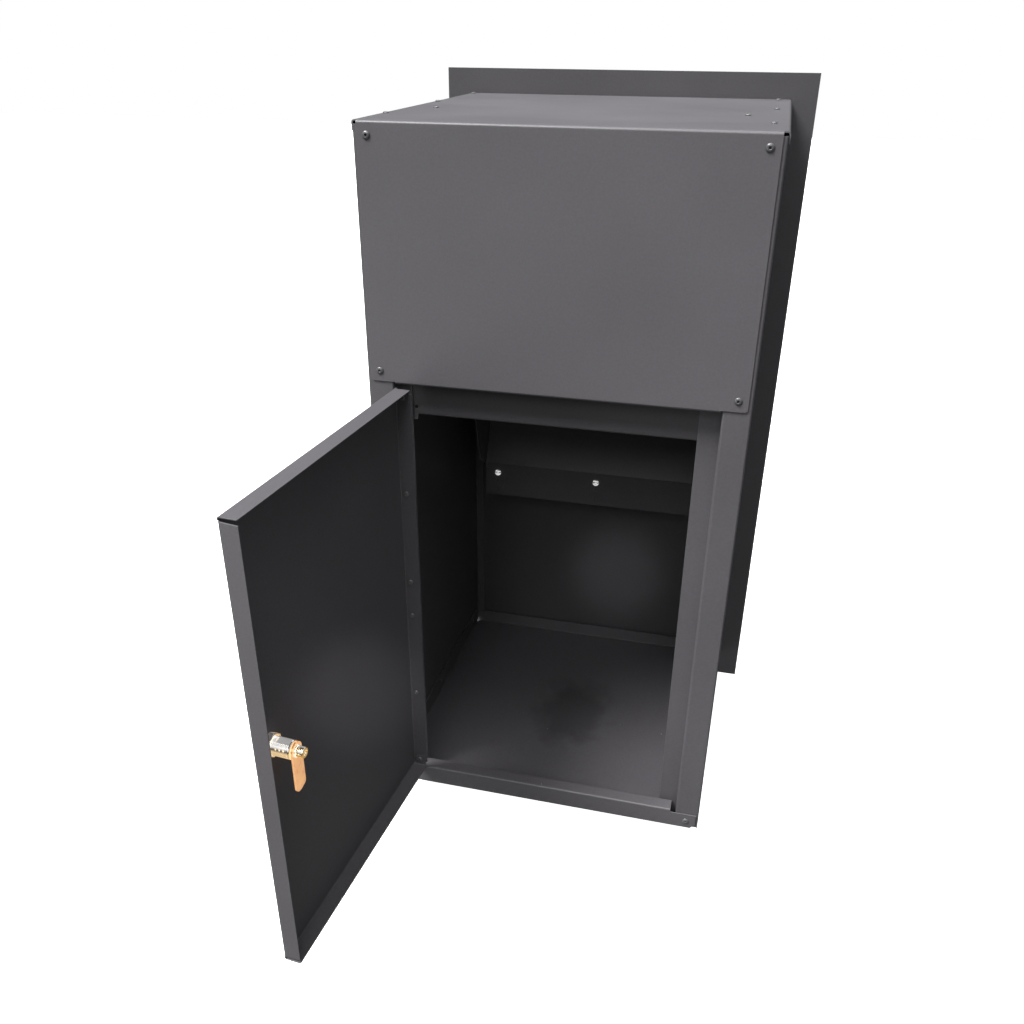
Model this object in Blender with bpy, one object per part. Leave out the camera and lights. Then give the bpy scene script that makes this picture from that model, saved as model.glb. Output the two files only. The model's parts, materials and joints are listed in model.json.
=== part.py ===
"""Through-wall parcel drop box: rear collection door, lock, internal chute and street hopper.

Geometry is drawn in millimetres with Y counted from the collection face towards the street,
then written in metres about the centre of the base.  +X right seen from the collection side,
+Y towards the street, +Z up.
"""
from math import acos, cos, pi, radians, sin, sqrt

import bmesh
import bpy
from mathutils import Matrix, Vector

# ---------------------------------------------------------------- driving dimensions, millimetres
BODY_HALF = 201.5
BODY_DEPTH = 410.0
BODY_HEIGHT = 800.0
SHEET = 1.2
GAP = 0.3
BEND_OUT = 2.2
BEND_IN = BEND_OUT - SHEET
BEND_STEPS = 3

WALL_X = BODY_HALF - SHEET - GAP
STILE_Y = SHEET + GAP
STILE_X = 171.5
STOP_Y = 20.0
STOP_X_LATCH = 149.0
STOP_X_HINGE = 158.0
FAR_Y = BODY_DEPTH - GAP
SHELF_Z = BODY_HEIGHT - SHEET - GAP
STILE_FOOT_Z = 2.6
FAR_FLANGE = 12.0

PLATE_HALF = 231.0
PLATE_THICK = 3.0
PLATE_LOW = -39.0
PLATE_HIGH = 829.0
PLATE_MASK = 1.5
PLATE_COAT = 0.1
OPENING_HALF = 157.0
OPENING_LOW = 510.0
OPENING_HIGH = 782.0

COVER_PANEL_HALF = 195.5
COVER_PANEL_LOW = 544.7
COVER_SKIRT = 10.0
COVER_HEM_HALF = 169.5
COVER_HEM = 12.0
COVER_CORNER_R = 3.0
COVER_BEND = 2.8
COVER_SKIRT_FROM = 4.6

TRAY_HALF = 198.5
TRAY_FOOT_HALF = 191.8
APRON_HALF = 196.8
TRAY_BACK_Y = 404.0
TRAY_SIDE_Y = 24.0
TRAY_SIDE_HIGH = 28.0
TRAY_BACK_HIGH = 20.0
TRAY_TAB_HIGH = 22.0
SILL_Z = 26.0
SILL_HALF = 165.0
SILL_DEEP = 18.5

HEADER_Y = STOP_Y + SHEET + GAP
HEADER_LOW = 505.0
HEADER_HIGH = 545.0
HEADER_HALF = 152.0
HEADER_TAB_HALF = 168.0
HEADER_TAB_LOW = 499.5
HEADER_HOLE = (154.0, 514.0)

CHEEK_X = 163.5
CHEEK_FLANGE = 11.0
LIP_Y = 332.0
LIP_LOW = 271.0
LIP_HIGH = 322.0
CHUTE_HALF = 161.9
CHUTE_SLOPE = 25.4
CHUTE_TOP = 507.0
CHUTE_HOLE_COLUMNS = (-144.0, 0.0, 144.0)
CHUTE_HOLE_ROWS = (306.0, 294.5, 282.5)
CHUTE_HOLE_R = 2.6
SUPPORT_HALF = 155.0
SUPPORT_LOW = 276.0
SUPPORT_FRONT_HIGH = 314.0
SUPPORT_REAR_HIGH = 298.0

DOOR_LEFT = -166.0
DOOR_RIGHT = 162.0
DOOR_LOW = 34.5
DOOR_HIGH = 543.0
DOOR_FLANGE = 19.0
DOOR_SLOT = 4.5
DOOR_OPEN = 95.0
HINGE_X = -169.2
HINGE_Y = -1.2
KNUCKLE_R = 2.4
KNUCKLE_BORE_R = 1.26
HINGE_PIN_R = 1.2
HINGE_TALL = 134.0
HINGE_KNUCKLE = 40.0
HINGE_RIVETS = {"upper": (308.0, 421.0), "lower": (149.0, 262.0)}
HINGE_RIVET_Y = 8.0

LOCK_X = 137.2
LOCK_Z = 298.4
BEZEL_R = 11.2
BARREL_R = 9.25
BARREL_END_Y = 27.0
BARREL_FLAT = 7.9
FLAT_FROM_Y = 10.8
FLAT_TO_Y = 25.2
PLUG_R = 6.4
SPIGOT_R = 4.0
CAM_Y = 27.6
CAM_THICK = 2.0
CAM_INNER = 9.4
CAM_OUTER = 7.2
CAM_REACH = 45.9
NUT_FLATS = 22.0
NUT_THICK = 5.8
NUT_TURN = 40.0
CAM_SCREW_R = 5.4
CAM_SCREW_HEAD = 7.2

HOPPER_Y = 401.0
HOPPER_Z = 522.0
FLAP_HALF = 155.0
FLAP_LOW = 514.5
FLAP_HIGH = 779.5
FLAP_DEEP = 20.0
FLAP_BACK_Y = BODY_DEPTH + PLATE_THICK - FLAP_DEEP
STOP_STRIP_Y = FLAP_BACK_Y - 1.8
BUCKET_HALF = FLAP_HALF - SHEET - GAP
BUCKET_ANGLE = 110.0
BUCKET_R = 215.0
HOPPER_PIN_R = 3.0
HOPPER_BORE_R = 3.08

BIG_RIVET = {"head": 4.0, "shank": 2.0, "tail": 2.9, "rise": 1.5}
SMALL_RIVET = {"head": 3.2, "shank": 1.6, "tail": 2.3, "rise": 1.2}
BIG_RIVET_HOLE_R = 2.3
SMALL_RIVET_HOLE_R = 1.9
RIVET_SIDES = 12
HOLE_SIDES = 12
BORE_SIDES = 24

COVER_RIVET_X = 185.5
COVER_RIVET_Z = (558.5, 787.0)
SILL_RIVET = (184.9, 11.5)
TOP_RIVET_X = {-1.0: -194.6, 1.0: 185.8}
TOP_RIVET_Y = (80.0, 250.0, 400.0)
GUIDE_RIVET_X = {-1.0: -167.7, 1.0: 159.2}
GUIDE_RIVET_Y = 160.0
TRAY_RIVET_Y = (201.0, 375.0)
TRAY_RIVET_Z = 16.0

MM = 0.001
ORIGIN_Y = BODY_DEPTH / 2.0
X_AXIS = Vector((1.0, 0.0, 0.0))
Y_AXIS = Vector((0.0, 1.0, 0.0))
Z_AXIS = Vector((0.0, 0.0, 1.0))


# ---------------------------------------------------------------- materials
def finish(node, colour, roughness, metallic):
    material = bpy.data.materials.new(node + "_finish")
    material.use_nodes = True
    shader = material.node_tree.nodes["Principled BSDF"]
    shader.inputs["Base Color"].default_value = (*colour, 1.0)
    shader.inputs["Roughness"].default_value = roughness
    shader.inputs["Metallic"].default_value = metallic
    return material


def charcoal_powder_coat(node):
    return finish(node, (0.085, 0.085, 0.092), 0.55, 0.0)


def painted_rivet(node):
    return finish(node, (0.10, 0.10, 0.108), 0.45, 0.1)


def zinc_plate(node):
    return finish(node, (0.72, 0.72, 0.74), 0.3, 1.0)


def chrome_plate(node):
    return finish(node, (0.80, 0.79, 0.77), 0.12, 1.0)


def yellow_zinc(node):
    return finish(node, (0.82, 0.56, 0.30), 0.35, 0.9)


def brass(node):
    return finish(node, (0.80, 0.62, 0.28), 0.22, 1.0)


def black_rubber(node):
    return finish(node, (0.02, 0.02, 0.02), 0.8, 0.0)


# ---------------------------------------------------------------- mesh helpers
def oriented(points, normal):
    """Return the polygon wound so that it faces along normal."""
    total = Vector((0.0, 0.0, 0.0))
    for here, after in zip(points, points[1:] + points[:1]):
        total += here.cross(after)
    return points if total.dot(normal) > 0.0 else points[::-1]


class Sheet:
    """A folded sheet drawn by its outer face; thickness grows behind that face."""

    def __init__(self, thickness=SHEET, bend_out=BEND_OUT):
        self.thickness = thickness
        self.bend_out = bend_out
        self.polygons = []

    def panel(self, points, normal):
        points = [Vector(p) for p in points]
        self.polygons.append(oriented(points, Vector(normal)))

    def bend(self, a, b, run, normal, angle=90.0):
        """Fold along a-b; a positive angle folds behind the outer face."""
        a, b, run, normal = Vector(a), Vector(b), Vector(run), Vector(normal)
        sense = 1.0 if angle > 0.0 else -1.0
        radius = self.bend_out if angle > 0.0 else self.bend_out - self.thickness
        previous = (a, b)
        for step in range(1, BEND_STEPS + 1):
            turn = radians(abs(angle)) * step / BEND_STEPS
            shift = run * (radius * sin(turn)) - normal * (sense * radius * (1.0 - cos(turn)))
            middle = normal * cos(turn) + run * (sense * sin(turn))
            edge = (a + shift, b + shift)
            self.panel([previous[0], previous[1], edge[1], edge[0]], middle)
            previous = edge
        turn = radians(abs(angle))
        new_run = run * cos(turn) - normal * (sense * sin(turn))
        new_normal = normal * cos(turn) + run * (sense * sin(turn))
        return previous[0], previous[1], new_run, new_normal

    def strip(self, fold, length, trim_a=0.0, trim_b=0.0):
        """Add a flat strip past a fold and return its free edge in the same form."""
        a, b, run, normal = fold
        along = (b - a).normalized()
        far_a = a + run * length + along * trim_a
        far_b = b + run * length - along * trim_b
        self.panel([a, b, far_b, far_a], normal)
        return far_a, far_b, run, normal

    def flange(self, a, b, run, normal, length, trim_a=0.0, trim_b=0.0):
        return self.strip(self.bend(a, b, run, normal), length, trim_a, trim_b)

    def solid(self, name):
        bm = bmesh.new()
        for polygon in self.polygons:
            bm.faces.new([bm.verts.new(p) for p in polygon])
        bmesh.ops.remove_doubles(bm, verts=bm.verts, dist=0.001)
        obj = object_from(bm, name)
        skin = obj.modifiers.new("skin", "SOLIDIFY")
        skin.thickness = self.thickness
        skin.offset = -1.0
        skin.use_even_offset = True
        bake(obj)
        return obj


def object_from(bm, name):
    mesh = bpy.data.meshes.new(name)
    bm.to_mesh(mesh)
    bm.free()
    obj = bpy.data.objects.new(name, mesh)
    bpy.context.scene.collection.objects.link(obj)
    return obj


def bake(obj):
    """Replace the object's mesh by its evaluated mesh and clear its modifiers."""
    graph = bpy.context.evaluated_depsgraph_get()
    mesh = bpy.data.meshes.new_from_object(obj.evaluated_get(graph))
    old = obj.data
    obj.modifiers.clear()
    obj.data = mesh
    bpy.data.meshes.remove(old)


def combine(obj, others, operation):
    """Boolean the other solids into obj one at a time and remove them."""
    for other in others:
        step = obj.modifiers.new("step", "BOOLEAN")
        step.operation = operation
        step.solver = "EXACT"
        step.object = other
        bake(obj)
        bpy.data.objects.remove(other, do_unlink=True)
    return obj


def box(low, high, name="block"):
    bm = bmesh.new()
    bmesh.ops.create_cube(bm, size=1.0)
    low, high = Vector(low), Vector(high)
    for vert in bm.verts:
        vert.co = Vector(
            (low[i] if vert.co[i] < 0.0 else high[i]) for i in range(3)
        )
    return object_from(bm, name)


def prism(outline, depth_axis, start, end, name="prism"):
    """Extrude a closed outline of (p, q) pairs along X, Y or Z."""
    bm = bmesh.new()
    placers = {
        "X": lambda p, q, d: Vector((d, p, q)),
        "Y": lambda p, q, d: Vector((p, d, q)),
        "Z": lambda p, q, d: Vector((p, q, d)),
    }
    place = placers[depth_axis]
    rows = [[bm.verts.new(place(p, q, d)) for p, q in outline] for d in (start, end)]
    bm.faces.new(rows[0])
    bm.faces.new(rows[1])
    count = len(outline)
    for i in range(count):
        j = (i + 1) % count
        bm.faces.new((rows[0][i], rows[0][j], rows[1][j], rows[1][i]))
    bmesh.ops.recalc_face_normals(bm, faces=bm.faces)
    return object_from(bm, name)


def lathe(profile, sides, base, axis, name="turned"):
    """Turn (radius, height) pairs about axis through base; the profile starts and ends at radius 0."""
    bm = bmesh.new()
    rows = []
    for radius, height in profile:
        if radius == 0.0:
            rows.append([bm.verts.new((0.0, 0.0, height))])
            continue
        ring = []
        for i in range(sides):
            turn = 2.0 * pi * i / sides
            ring.append(bm.verts.new((radius * cos(turn), radius * sin(turn), height)))
        rows.append(ring)
    for lower, upper in zip(rows, rows[1:]):
        for i in range(sides):
            j = (i + 1) % sides
            if len(lower) == 1:
                bm.faces.new((lower[0], upper[i], upper[j]))
            elif len(upper) == 1:
                bm.faces.new((lower[i], lower[j], upper[0]))
            else:
                bm.faces.new((lower[i], lower[j], upper[j], upper[i]))
    bmesh.ops.recalc_face_normals(bm, faces=bm.faces)
    turn = Vector(axis).to_track_quat("Z", "Y").to_matrix().to_4x4()
    bmesh.ops.transform(bm, matrix=Matrix.Translation(Vector(base)) @ turn, verts=bm.verts)
    return object_from(bm, name)


def tube(inner, outer, length, sides, base, axis, name="tube"):
    """A ring of revolution with a clear bore, from base along axis."""
    bm = bmesh.new()
    rows = []
    for radius, height in ((inner, 0.0), (outer, 0.0), (outer, length), (inner, length)):
        ring = []
        for i in range(sides):
            turn = 2.0 * pi * i / sides
            ring.append(bm.verts.new((radius * cos(turn), radius * sin(turn), height)))
        rows.append(ring)
    for lower, upper in zip(rows, rows[1:] + rows[:1]):
        for i in range(sides):
            j = (i + 1) % sides
            bm.faces.new((lower[i], lower[j], upper[j], upper[i]))
    bmesh.ops.recalc_face_normals(bm, faces=bm.faces)
    turn = Vector(axis).to_track_quat("Z", "Y").to_matrix().to_4x4()
    bmesh.ops.transform(bm, matrix=Matrix.Translation(Vector(base)) @ turn, verts=bm.verts)
    return object_from(bm, name)


def rod(radius, length, base, axis, sides=HOLE_SIDES, name="rod"):
    profile = [(0.0, 0.0), (radius, 0.0), (radius, length), (0.0, length)]
    return lathe(profile, sides, base, axis, name)


def drill(obj, centres, axis, radius, reach=6.0, sides=HOLE_SIDES):
    """Cut round holes through the sheet; each cutter runs reach either side of its centre."""
    axis = Vector(axis)
    cutters = [rod(radius, 2.0 * reach, Vector(c) - axis * reach, axis, sides) for c in centres]
    return combine(obj, cutters, "DIFFERENCE")


def in_rear_door_pose(obj):
    """Swing a door piece from its closed place to its rest place about the hinge pins."""
    pivot = Vector((HINGE_X, HINGE_Y, 0.0))
    swing = Matrix.Rotation(radians(-DOOR_OPEN), 4, "Z")
    obj.data.transform(Matrix.Translation(pivot) @ swing @ Matrix.Translation(-pivot))
    return obj


def closed_to_rest(point):
    pivot = Vector((HINGE_X, HINGE_Y, 0.0))
    swing = Matrix.Rotation(radians(-DOOR_OPEN), 4, "Z")
    return Matrix.Translation(pivot) @ swing @ Matrix.Translation(-pivot) @ Vector(point)


def publish(obj, name, material, origin=(0.0, ORIGIN_Y, 0.0), smooth=False):
    """Write the node in metres about the part origin, with its own origin at the given point."""
    origin = Vector(origin)
    datum = Vector((0.0, ORIGIN_Y, 0.0))
    obj.name = name
    obj.data.name = name
    bm = bmesh.new()
    bm.from_mesh(obj.data)
    bmesh.ops.remove_doubles(bm, verts=bm.verts, dist=0.0005)
    bmesh.ops.dissolve_limit(
        bm, angle_limit=radians(0.2), verts=bm.verts, edges=bm.edges, use_dissolve_boundaries=False
    )
    bmesh.ops.transform(bm, matrix=Matrix.Scale(MM, 4) @ Matrix.Translation(-origin), verts=bm.verts)
    for face in bm.faces:
        face.smooth = smooth
    bm.to_mesh(obj.data)
    bm.free()
    obj.location = (origin - datum) * MM
    obj.data.materials.clear()
    obj.data.materials.append(material(name))
    return obj


# ---------------------------------------------------------------- fixed sheet-metal pieces
def side_panel(side, name, stop_x):
    """Wall with a folded door jamb at the collection edge and bearing flanges at top and street edge."""
    out = X_AXIS * side
    wall_x = side * WALL_X
    near_y = STILE_Y + BEND_OUT
    far_y = FAR_Y - BEND_OUT
    top_z = SHELF_Z - BEND_OUT
    shelf_from, shelf_to = 26.0, 406.0
    sheet = Sheet()
    sheet.panel(
        [
            (wall_x, near_y, 0.0),
            (wall_x, near_y, STILE_FOOT_Z),
            (wall_x, near_y, top_z),
            (wall_x, shelf_from, top_z),
            (wall_x, shelf_to, top_z),
            (wall_x, far_y, top_z),
            (wall_x, far_y, STILE_FOOT_Z),
            (wall_x, far_y, 0.0),
        ],
        out,
    )
    low = Vector((wall_x, near_y, STILE_FOOT_Z))
    high = Vector((wall_x, near_y, top_z))
    stile = sheet.flange(low, high, -Y_AXIS, out, WALL_X - STILE_X - 2.0 * BEND_OUT)
    jamb = sheet.flange(*stile, STOP_Y - BEND_IN - STILE_Y - BEND_OUT)
    stop = sheet.bend(*jamb, angle=-90.0)
    sheet.strip(stop, STILE_X - BEND_IN - stop_x)
    low = Vector((wall_x, far_y, STILE_FOOT_Z))
    high = Vector((wall_x, far_y, top_z))
    sheet.flange(low, high, Y_AXIS, out, FAR_FLANGE - BEND_OUT, 0.0, 4.0)
    near = Vector((wall_x, shelf_from, top_z))
    far = Vector((wall_x, shelf_to, top_z))
    sheet.flange(near, far, Z_AXIS, out, 19.0, 4.0, 1.0)
    obj = sheet.solid(name)
    drill(obj, [(side * COVER_RIVET_X, STILE_Y, z) for z in COVER_RIVET_Z], Y_AXIS, BIG_RIVET_HOLE_R, 3.0)
    drill(obj, [(side * SILL_RIVET[0], STILE_Y, SILL_RIVET[1])], Y_AXIS, BIG_RIVET_HOLE_R, 3.0)
    drill(obj, [(TOP_RIVET_X[side], y, SHELF_Z) for y in TOP_RIVET_Y], Z_AXIS, SMALL_RIVET_HOLE_R, 3.0)
    drill(obj, [(wall_x, y, TRAY_RIVET_Z) for y in TRAY_RIVET_Y], X_AXIS, SMALL_RIVET_HOLE_R, 3.0)
    return publish(obj, name, charcoal_powder_coat)


def top_cover():
    """Roof, fixed collection-side panel and short side skirts folded from one sheet."""
    roof_x = BODY_HALF - COVER_BEND
    skirt_from, skirt_to = COVER_SKIRT_FROM, 407.0
    half = COVER_PANEL_HALF
    top = BODY_HEIGHT
    sheet = Sheet(bend_out=COVER_BEND)
    sheet.panel(
        [
            (-half, COVER_BEND, top),
            (half, COVER_BEND, top),
            (half, skirt_from, top),
            (roof_x, skirt_from, top),
            (roof_x, skirt_to, top),
            (roof_x, FAR_Y, top),
            (-roof_x, FAR_Y, top),
            (-roof_x, skirt_to, top),
            (-roof_x, skirt_from, top),
            (-half, skirt_from, top),
        ],
        Z_AXIS,
    )
    for side in (-1.0, 1.0):
        near = (side * roof_x, skirt_from, top)
        far = (side * roof_x, skirt_to, top)
        sheet.flange(near, far, X_AXIS * side, Z_AXIS, COVER_SKIRT - COVER_BEND)
    fold = sheet.bend((-half, COVER_BEND, top), (half, COVER_BEND, top), -Y_AXIS, Z_AXIS)
    low = COVER_PANEL_LOW + COVER_BEND
    hem = COVER_HEM_HALF
    radius = COVER_CORNER_R
    corner = []
    for turn in (0.0, 30.0, 60.0, 90.0):
        x = half - radius * (1.0 - cos(radians(turn)))
        corner.append((x, 0.0, low + radius * (1.0 - sin(radians(turn)))))
    mirrored = [(-x, y, z) for x, y, z in reversed(corner)]
    sheet.panel([fold[0], fold[1], *corner, (hem, 0.0, low), (-hem, 0.0, low), *mirrored], -Y_AXIS)
    sheet.flange((-hem, 0.0, low), (hem, 0.0, low), -Z_AXIS, -Y_AXIS, COVER_HEM - COVER_BEND, 3.0, 3.0)
    obj = sheet.solid("top_cover")
    sides = (-1.0, 1.0)
    drill(obj, [(s * COVER_RIVET_X, 0.0, z) for s in sides for z in COVER_RIVET_Z], Y_AXIS, BIG_RIVET_HOLE_R, 3.0)
    drill(obj, [(x, y, top) for x in TOP_RIVET_X.values() for y in TOP_RIVET_Y], Z_AXIS, SMALL_RIVET_HOLE_R, 3.0)
    drill(obj, [(x, GUIDE_RIVET_Y, top) for x in GUIDE_RIVET_X.values()], Z_AXIS, SMALL_RIVET_HOLE_R, 3.0)
    return publish(obj, "top_cover", charcoal_powder_coat)


def floor_tray():
    """Floor with riveted upstands, a riveted front apron with end tabs and a folded sill."""
    side_x = TRAY_HALF - BEND_OUT
    foot_x = TRAY_FOOT_HALF
    back_y = TRAY_BACK_Y - BEND_OUT
    mitre = 4.5
    sheet = Sheet()
    sheet.panel(
        [
            (-foot_x, BEND_OUT, 0.0),
            (foot_x, BEND_OUT, 0.0),
            (foot_x, TRAY_SIDE_Y, 0.0),
            (side_x, TRAY_SIDE_Y, 0.0),
            (side_x, back_y - mitre, 0.0),
            (side_x - mitre, back_y, 0.0),
            (mitre - side_x, back_y, 0.0),
            (-side_x, back_y - mitre, 0.0),
            (-side_x, TRAY_SIDE_Y, 0.0),
            (-foot_x, TRAY_SIDE_Y, 0.0),
        ],
        -Z_AXIS,
    )
    for side in (-1.0, 1.0):
        near = (side * side_x, TRAY_SIDE_Y, 0.0)
        far = (side * side_x, back_y - mitre, 0.0)
        sheet.flange(near, far, X_AXIS * side, -Z_AXIS, TRAY_SIDE_HIGH - BEND_OUT, 4.0, 2.0)
    left = (mitre - side_x, back_y, 0.0)
    right = (side_x - mitre, back_y, 0.0)
    sheet.flange(left, right, Y_AXIS, -Z_AXIS, TRAY_BACK_HIGH - BEND_OUT, 2.0, 2.0)
    fold = sheet.bend((-foot_x, BEND_OUT, 0.0), (foot_x, BEND_OUT, 0.0), -Y_AXIS, -Z_AXIS)
    chamfer_z = BEND_OUT + APRON_HALF - foot_x
    sill_z = SILL_Z - BEND_OUT
    sheet.panel(
        [
            fold[0],
            fold[1],
            (APRON_HALF, 0.0, chamfer_z),
            (APRON_HALF, 0.0, TRAY_TAB_HIGH),
            (SILL_HALF, 0.0, TRAY_TAB_HIGH),
            (SILL_HALF, 0.0, sill_z),
            (-SILL_HALF, 0.0, sill_z),
            (-SILL_HALF, 0.0, TRAY_TAB_HIGH),
            (-APRON_HALF, 0.0, TRAY_TAB_HIGH),
            (-APRON_HALF, 0.0, chamfer_z),
        ],
        -Y_AXIS,
    )
    left = (-SILL_HALF, 0.0, sill_z)
    right = (SILL_HALF, 0.0, sill_z)
    sill = sheet.flange(left, right, Z_AXIS, -Y_AXIS, SILL_DEEP - 2.0 * BEND_OUT)
    sheet.flange(*sill, 5.0, 2.0, 2.0)
    obj = sheet.solid("floor_tray")
    sides = (-1.0, 1.0)
    drill(obj, [(s * SILL_RIVET[0], 0.0, SILL_RIVET[1]) for s in sides], Y_AXIS, BIG_RIVET_HOLE_R, 3.0)
    centres = [(s * TRAY_HALF, y, TRAY_RIVET_Z) for s in sides for y in TRAY_RIVET_Y]
    drill(obj, centres, X_AXIS, SMALL_RIVET_HOLE_R, 3.0)
    return publish(obj, "floor_tray", charcoal_powder_coat)


def header_rail():
    """Channel behind the jambs at the head of the door opening; its end tabs lap the stops."""
    half, tab = HEADER_HALF, HEADER_TAB_HALF
    low = HEADER_LOW + BEND_OUT
    high = HEADER_HIGH - BEND_OUT
    tab_high = HEADER_HIGH - 4.0
    y = HEADER_Y
    sheet = Sheet()
    sheet.panel(
        [
            (-tab, y, HEADER_TAB_LOW),
            (-half - 1.4, y, HEADER_TAB_LOW),
            (-half, y, low),
            (half, y, low),
            (half + 1.4, y, HEADER_TAB_LOW),
            (tab, y, HEADER_TAB_LOW),
            (tab, y, tab_high),
            (half, y, tab_high),
            (half, y, high),
            (-half, y, high),
            (-half, y, tab_high),
            (-tab, y, tab_high),
        ],
        -Y_AXIS,
    )
    sheet.flange((-half, y, low), (half, y, low), -Z_AXIS, -Y_AXIS, 12.0)
    sheet.flange((-half, y, high), (half, y, high), Z_AXIS, -Y_AXIS, 12.0)
    obj = sheet.solid("header_rail")
    drill(obj, [(-HEADER_HOLE[0], y, HEADER_HOLE[1]), (HEADER_HOLE[0], y, HEADER_HOLE[1])], Y_AXIS, SMALL_RIVET_HOLE_R, 3.0)
    return publish(obj, "header_rail", charcoal_powder_coat)


def face_plate():
    """Street-side plate that covers the wall cut-out, with the delivery opening.

    Inside the body's outline its back is masked from the coating, so that seat lies one coat deep.
    """
    low = (-PLATE_HALF, BODY_DEPTH, PLATE_LOW)
    high = (PLATE_HALF, BODY_DEPTH + PLATE_THICK, PLATE_HIGH)
    obj = box(low, high)
    hole_low = (-OPENING_HALF, BODY_DEPTH - 5.0, OPENING_LOW)
    hole_high = (OPENING_HALF, BODY_DEPTH + 10.0, OPENING_HIGH)
    seat_half = BODY_HALF + PLATE_MASK
    seat_low = (-seat_half, BODY_DEPTH - 5.0, -2.0 * PLATE_MASK)
    seat_high = (seat_half, BODY_DEPTH + PLATE_COAT, BODY_HEIGHT + 2.0 * PLATE_MASK)
    combine(obj, [box(hole_low, hole_high), box(seat_low, seat_high)], "DIFFERENCE")
    return publish(obj, "face_plate", charcoal_powder_coat)


def chute_plate():
    """Sloping deflector with a hanging lip and three columns of adjustment holes."""
    half = CHUTE_HALF
    slope = radians(CHUTE_SLOPE)
    fold_z = LIP_HIGH - BEND_OUT
    seat_y = FAR_Y - SHEET
    rise = (BEND_OUT + BEND_IN) * (1.0 - cos(slope))
    run_length = (seat_y - LIP_Y - rise) / sin(slope)
    sheet = Sheet()
    sheet.panel(
        [(-half, LIP_Y, LIP_LOW), (half, LIP_Y, LIP_LOW), (half, LIP_Y, fold_z), (-half, LIP_Y, fold_z)],
        -Y_AXIS,
    )
    fold = sheet.bend((-half, LIP_Y, fold_z), (half, LIP_Y, fold_z), Z_AXIS, -Y_AXIS, CHUTE_SLOPE)
    ramp = sheet.strip(fold, run_length)
    seat = sheet.bend(*ramp, angle=-CHUTE_SLOPE)
    sheet.strip(seat, CHUTE_TOP - seat[0].z)
    obj = sheet.solid("chute_plate")
    centres = [(x, LIP_Y, z) for x in CHUTE_HOLE_COLUMNS for z in CHUTE_HOLE_ROWS]
    drill(obj, centres, Y_AXIS, CHUTE_HOLE_R, 3.0)
    return publish(obj, "chute_plate", charcoal_powder_coat)


def chute_support():
    """Channel that stands on the face plate and carries the chute lip."""
    half = SUPPORT_HALF
    front_y = LIP_Y + SHEET + GAP
    near = front_y + BEND_OUT
    far = FAR_Y - BEND_OUT
    z = SUPPORT_LOW
    sheet = Sheet()
    sheet.panel([(-half, near, z), (half, near, z), (half, far, z), (-half, far, z)], -Z_AXIS)
    front_tall = SUPPORT_FRONT_HIGH - z - BEND_OUT
    rear_tall = SUPPORT_REAR_HIGH - z - BEND_OUT
    sheet.flange((-half, near, z), (half, near, z), -Y_AXIS, -Z_AXIS, front_tall)
    sheet.flange((-half, far, z), (half, far, z), Y_AXIS, -Z_AXIS, rear_tall)
    obj = sheet.solid("chute_support")
    centres = [(x, front_y, CHUTE_HOLE_ROWS[0]) for x in CHUTE_HOLE_COLUMNS]
    drill(obj, centres, Y_AXIS, CHUTE_HOLE_R, 3.0)
    return publish(obj, "chute_support", charcoal_powder_coat)


def chute_cheek(side, name):
    """Tall side guide from the lip to the roof; it also carries the hopper pivot pin.

    Both guides are the same pressing, so the roof flange turns towards -X on either side.
    """
    out = X_AXIS * side
    x = side * CHEEK_X
    far_y = FAR_Y - SHEET - BEND_IN
    top_z = SHELF_Z - SHEET - BEND_IN
    foot_z = 486.0
    outline = [
        (337.5, 316.0),
        (304.0, 336.0),
        (148.0, top_z),
        (400.0, top_z),
        (far_y, top_z - 6.0),
        (far_y, foot_z),
    ]
    sheet = Sheet()
    sheet.panel([(x, y, z) for y, z in outline], out)
    top_fold = 90.0 * side
    top = sheet.bend((x, 148.0, top_z), (x, 400.0, top_z), Z_AXIS, out, top_fold)
    sheet.strip(top, CHEEK_FLANGE - BEND_IN, 4.0, 4.0)
    rear = sheet.bend((x, far_y, foot_z), (x, far_y, top_z - 6.0), Y_AXIS, out, -90.0)
    sheet.strip(rear, CHEEK_FLANGE - BEND_IN, 4.0, 4.0)
    obj = sheet.solid(name)
    drill(obj, [(GUIDE_RIVET_X[side], GUIDE_RIVET_Y, SHELF_Z)], Z_AXIS, SMALL_RIVET_HOLE_R, 3.0)
    drill(obj, [(x, HOPPER_Y, HOPPER_Z)], X_AXIS, HOPPER_BORE_R, 3.0, BORE_SIDES)
    return publish(obj, name, charcoal_powder_coat)


def flap_stop_strip():
    """Stepped strip behind the head of the delivery opening that the closed flap rests against."""
    half = 150.0
    seat_y = FAR_Y
    step_z = 786.0
    foot_z = 769.0
    sheet = Sheet()
    high = 797.0
    fold_z = step_z + BEND_OUT
    sheet.panel([(-half, seat_y, high), (half, seat_y, high), (half, seat_y, fold_z), (-half, seat_y, fold_z)], Y_AXIS)
    shelf = sheet.bend((-half, seat_y, fold_z), (half, seat_y, fold_z), -Z_AXIS, Y_AXIS)
    shelf = sheet.strip(shelf, seat_y - STOP_STRIP_Y - BEND_OUT - BEND_IN)
    drop = sheet.bend(*shelf, angle=-90.0)
    sheet.strip(drop, drop[0].z - foot_z, 4.0, 4.0)
    return publish(sheet.solid("flap_stop_strip"), "flap_stop_strip", charcoal_powder_coat)


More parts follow.
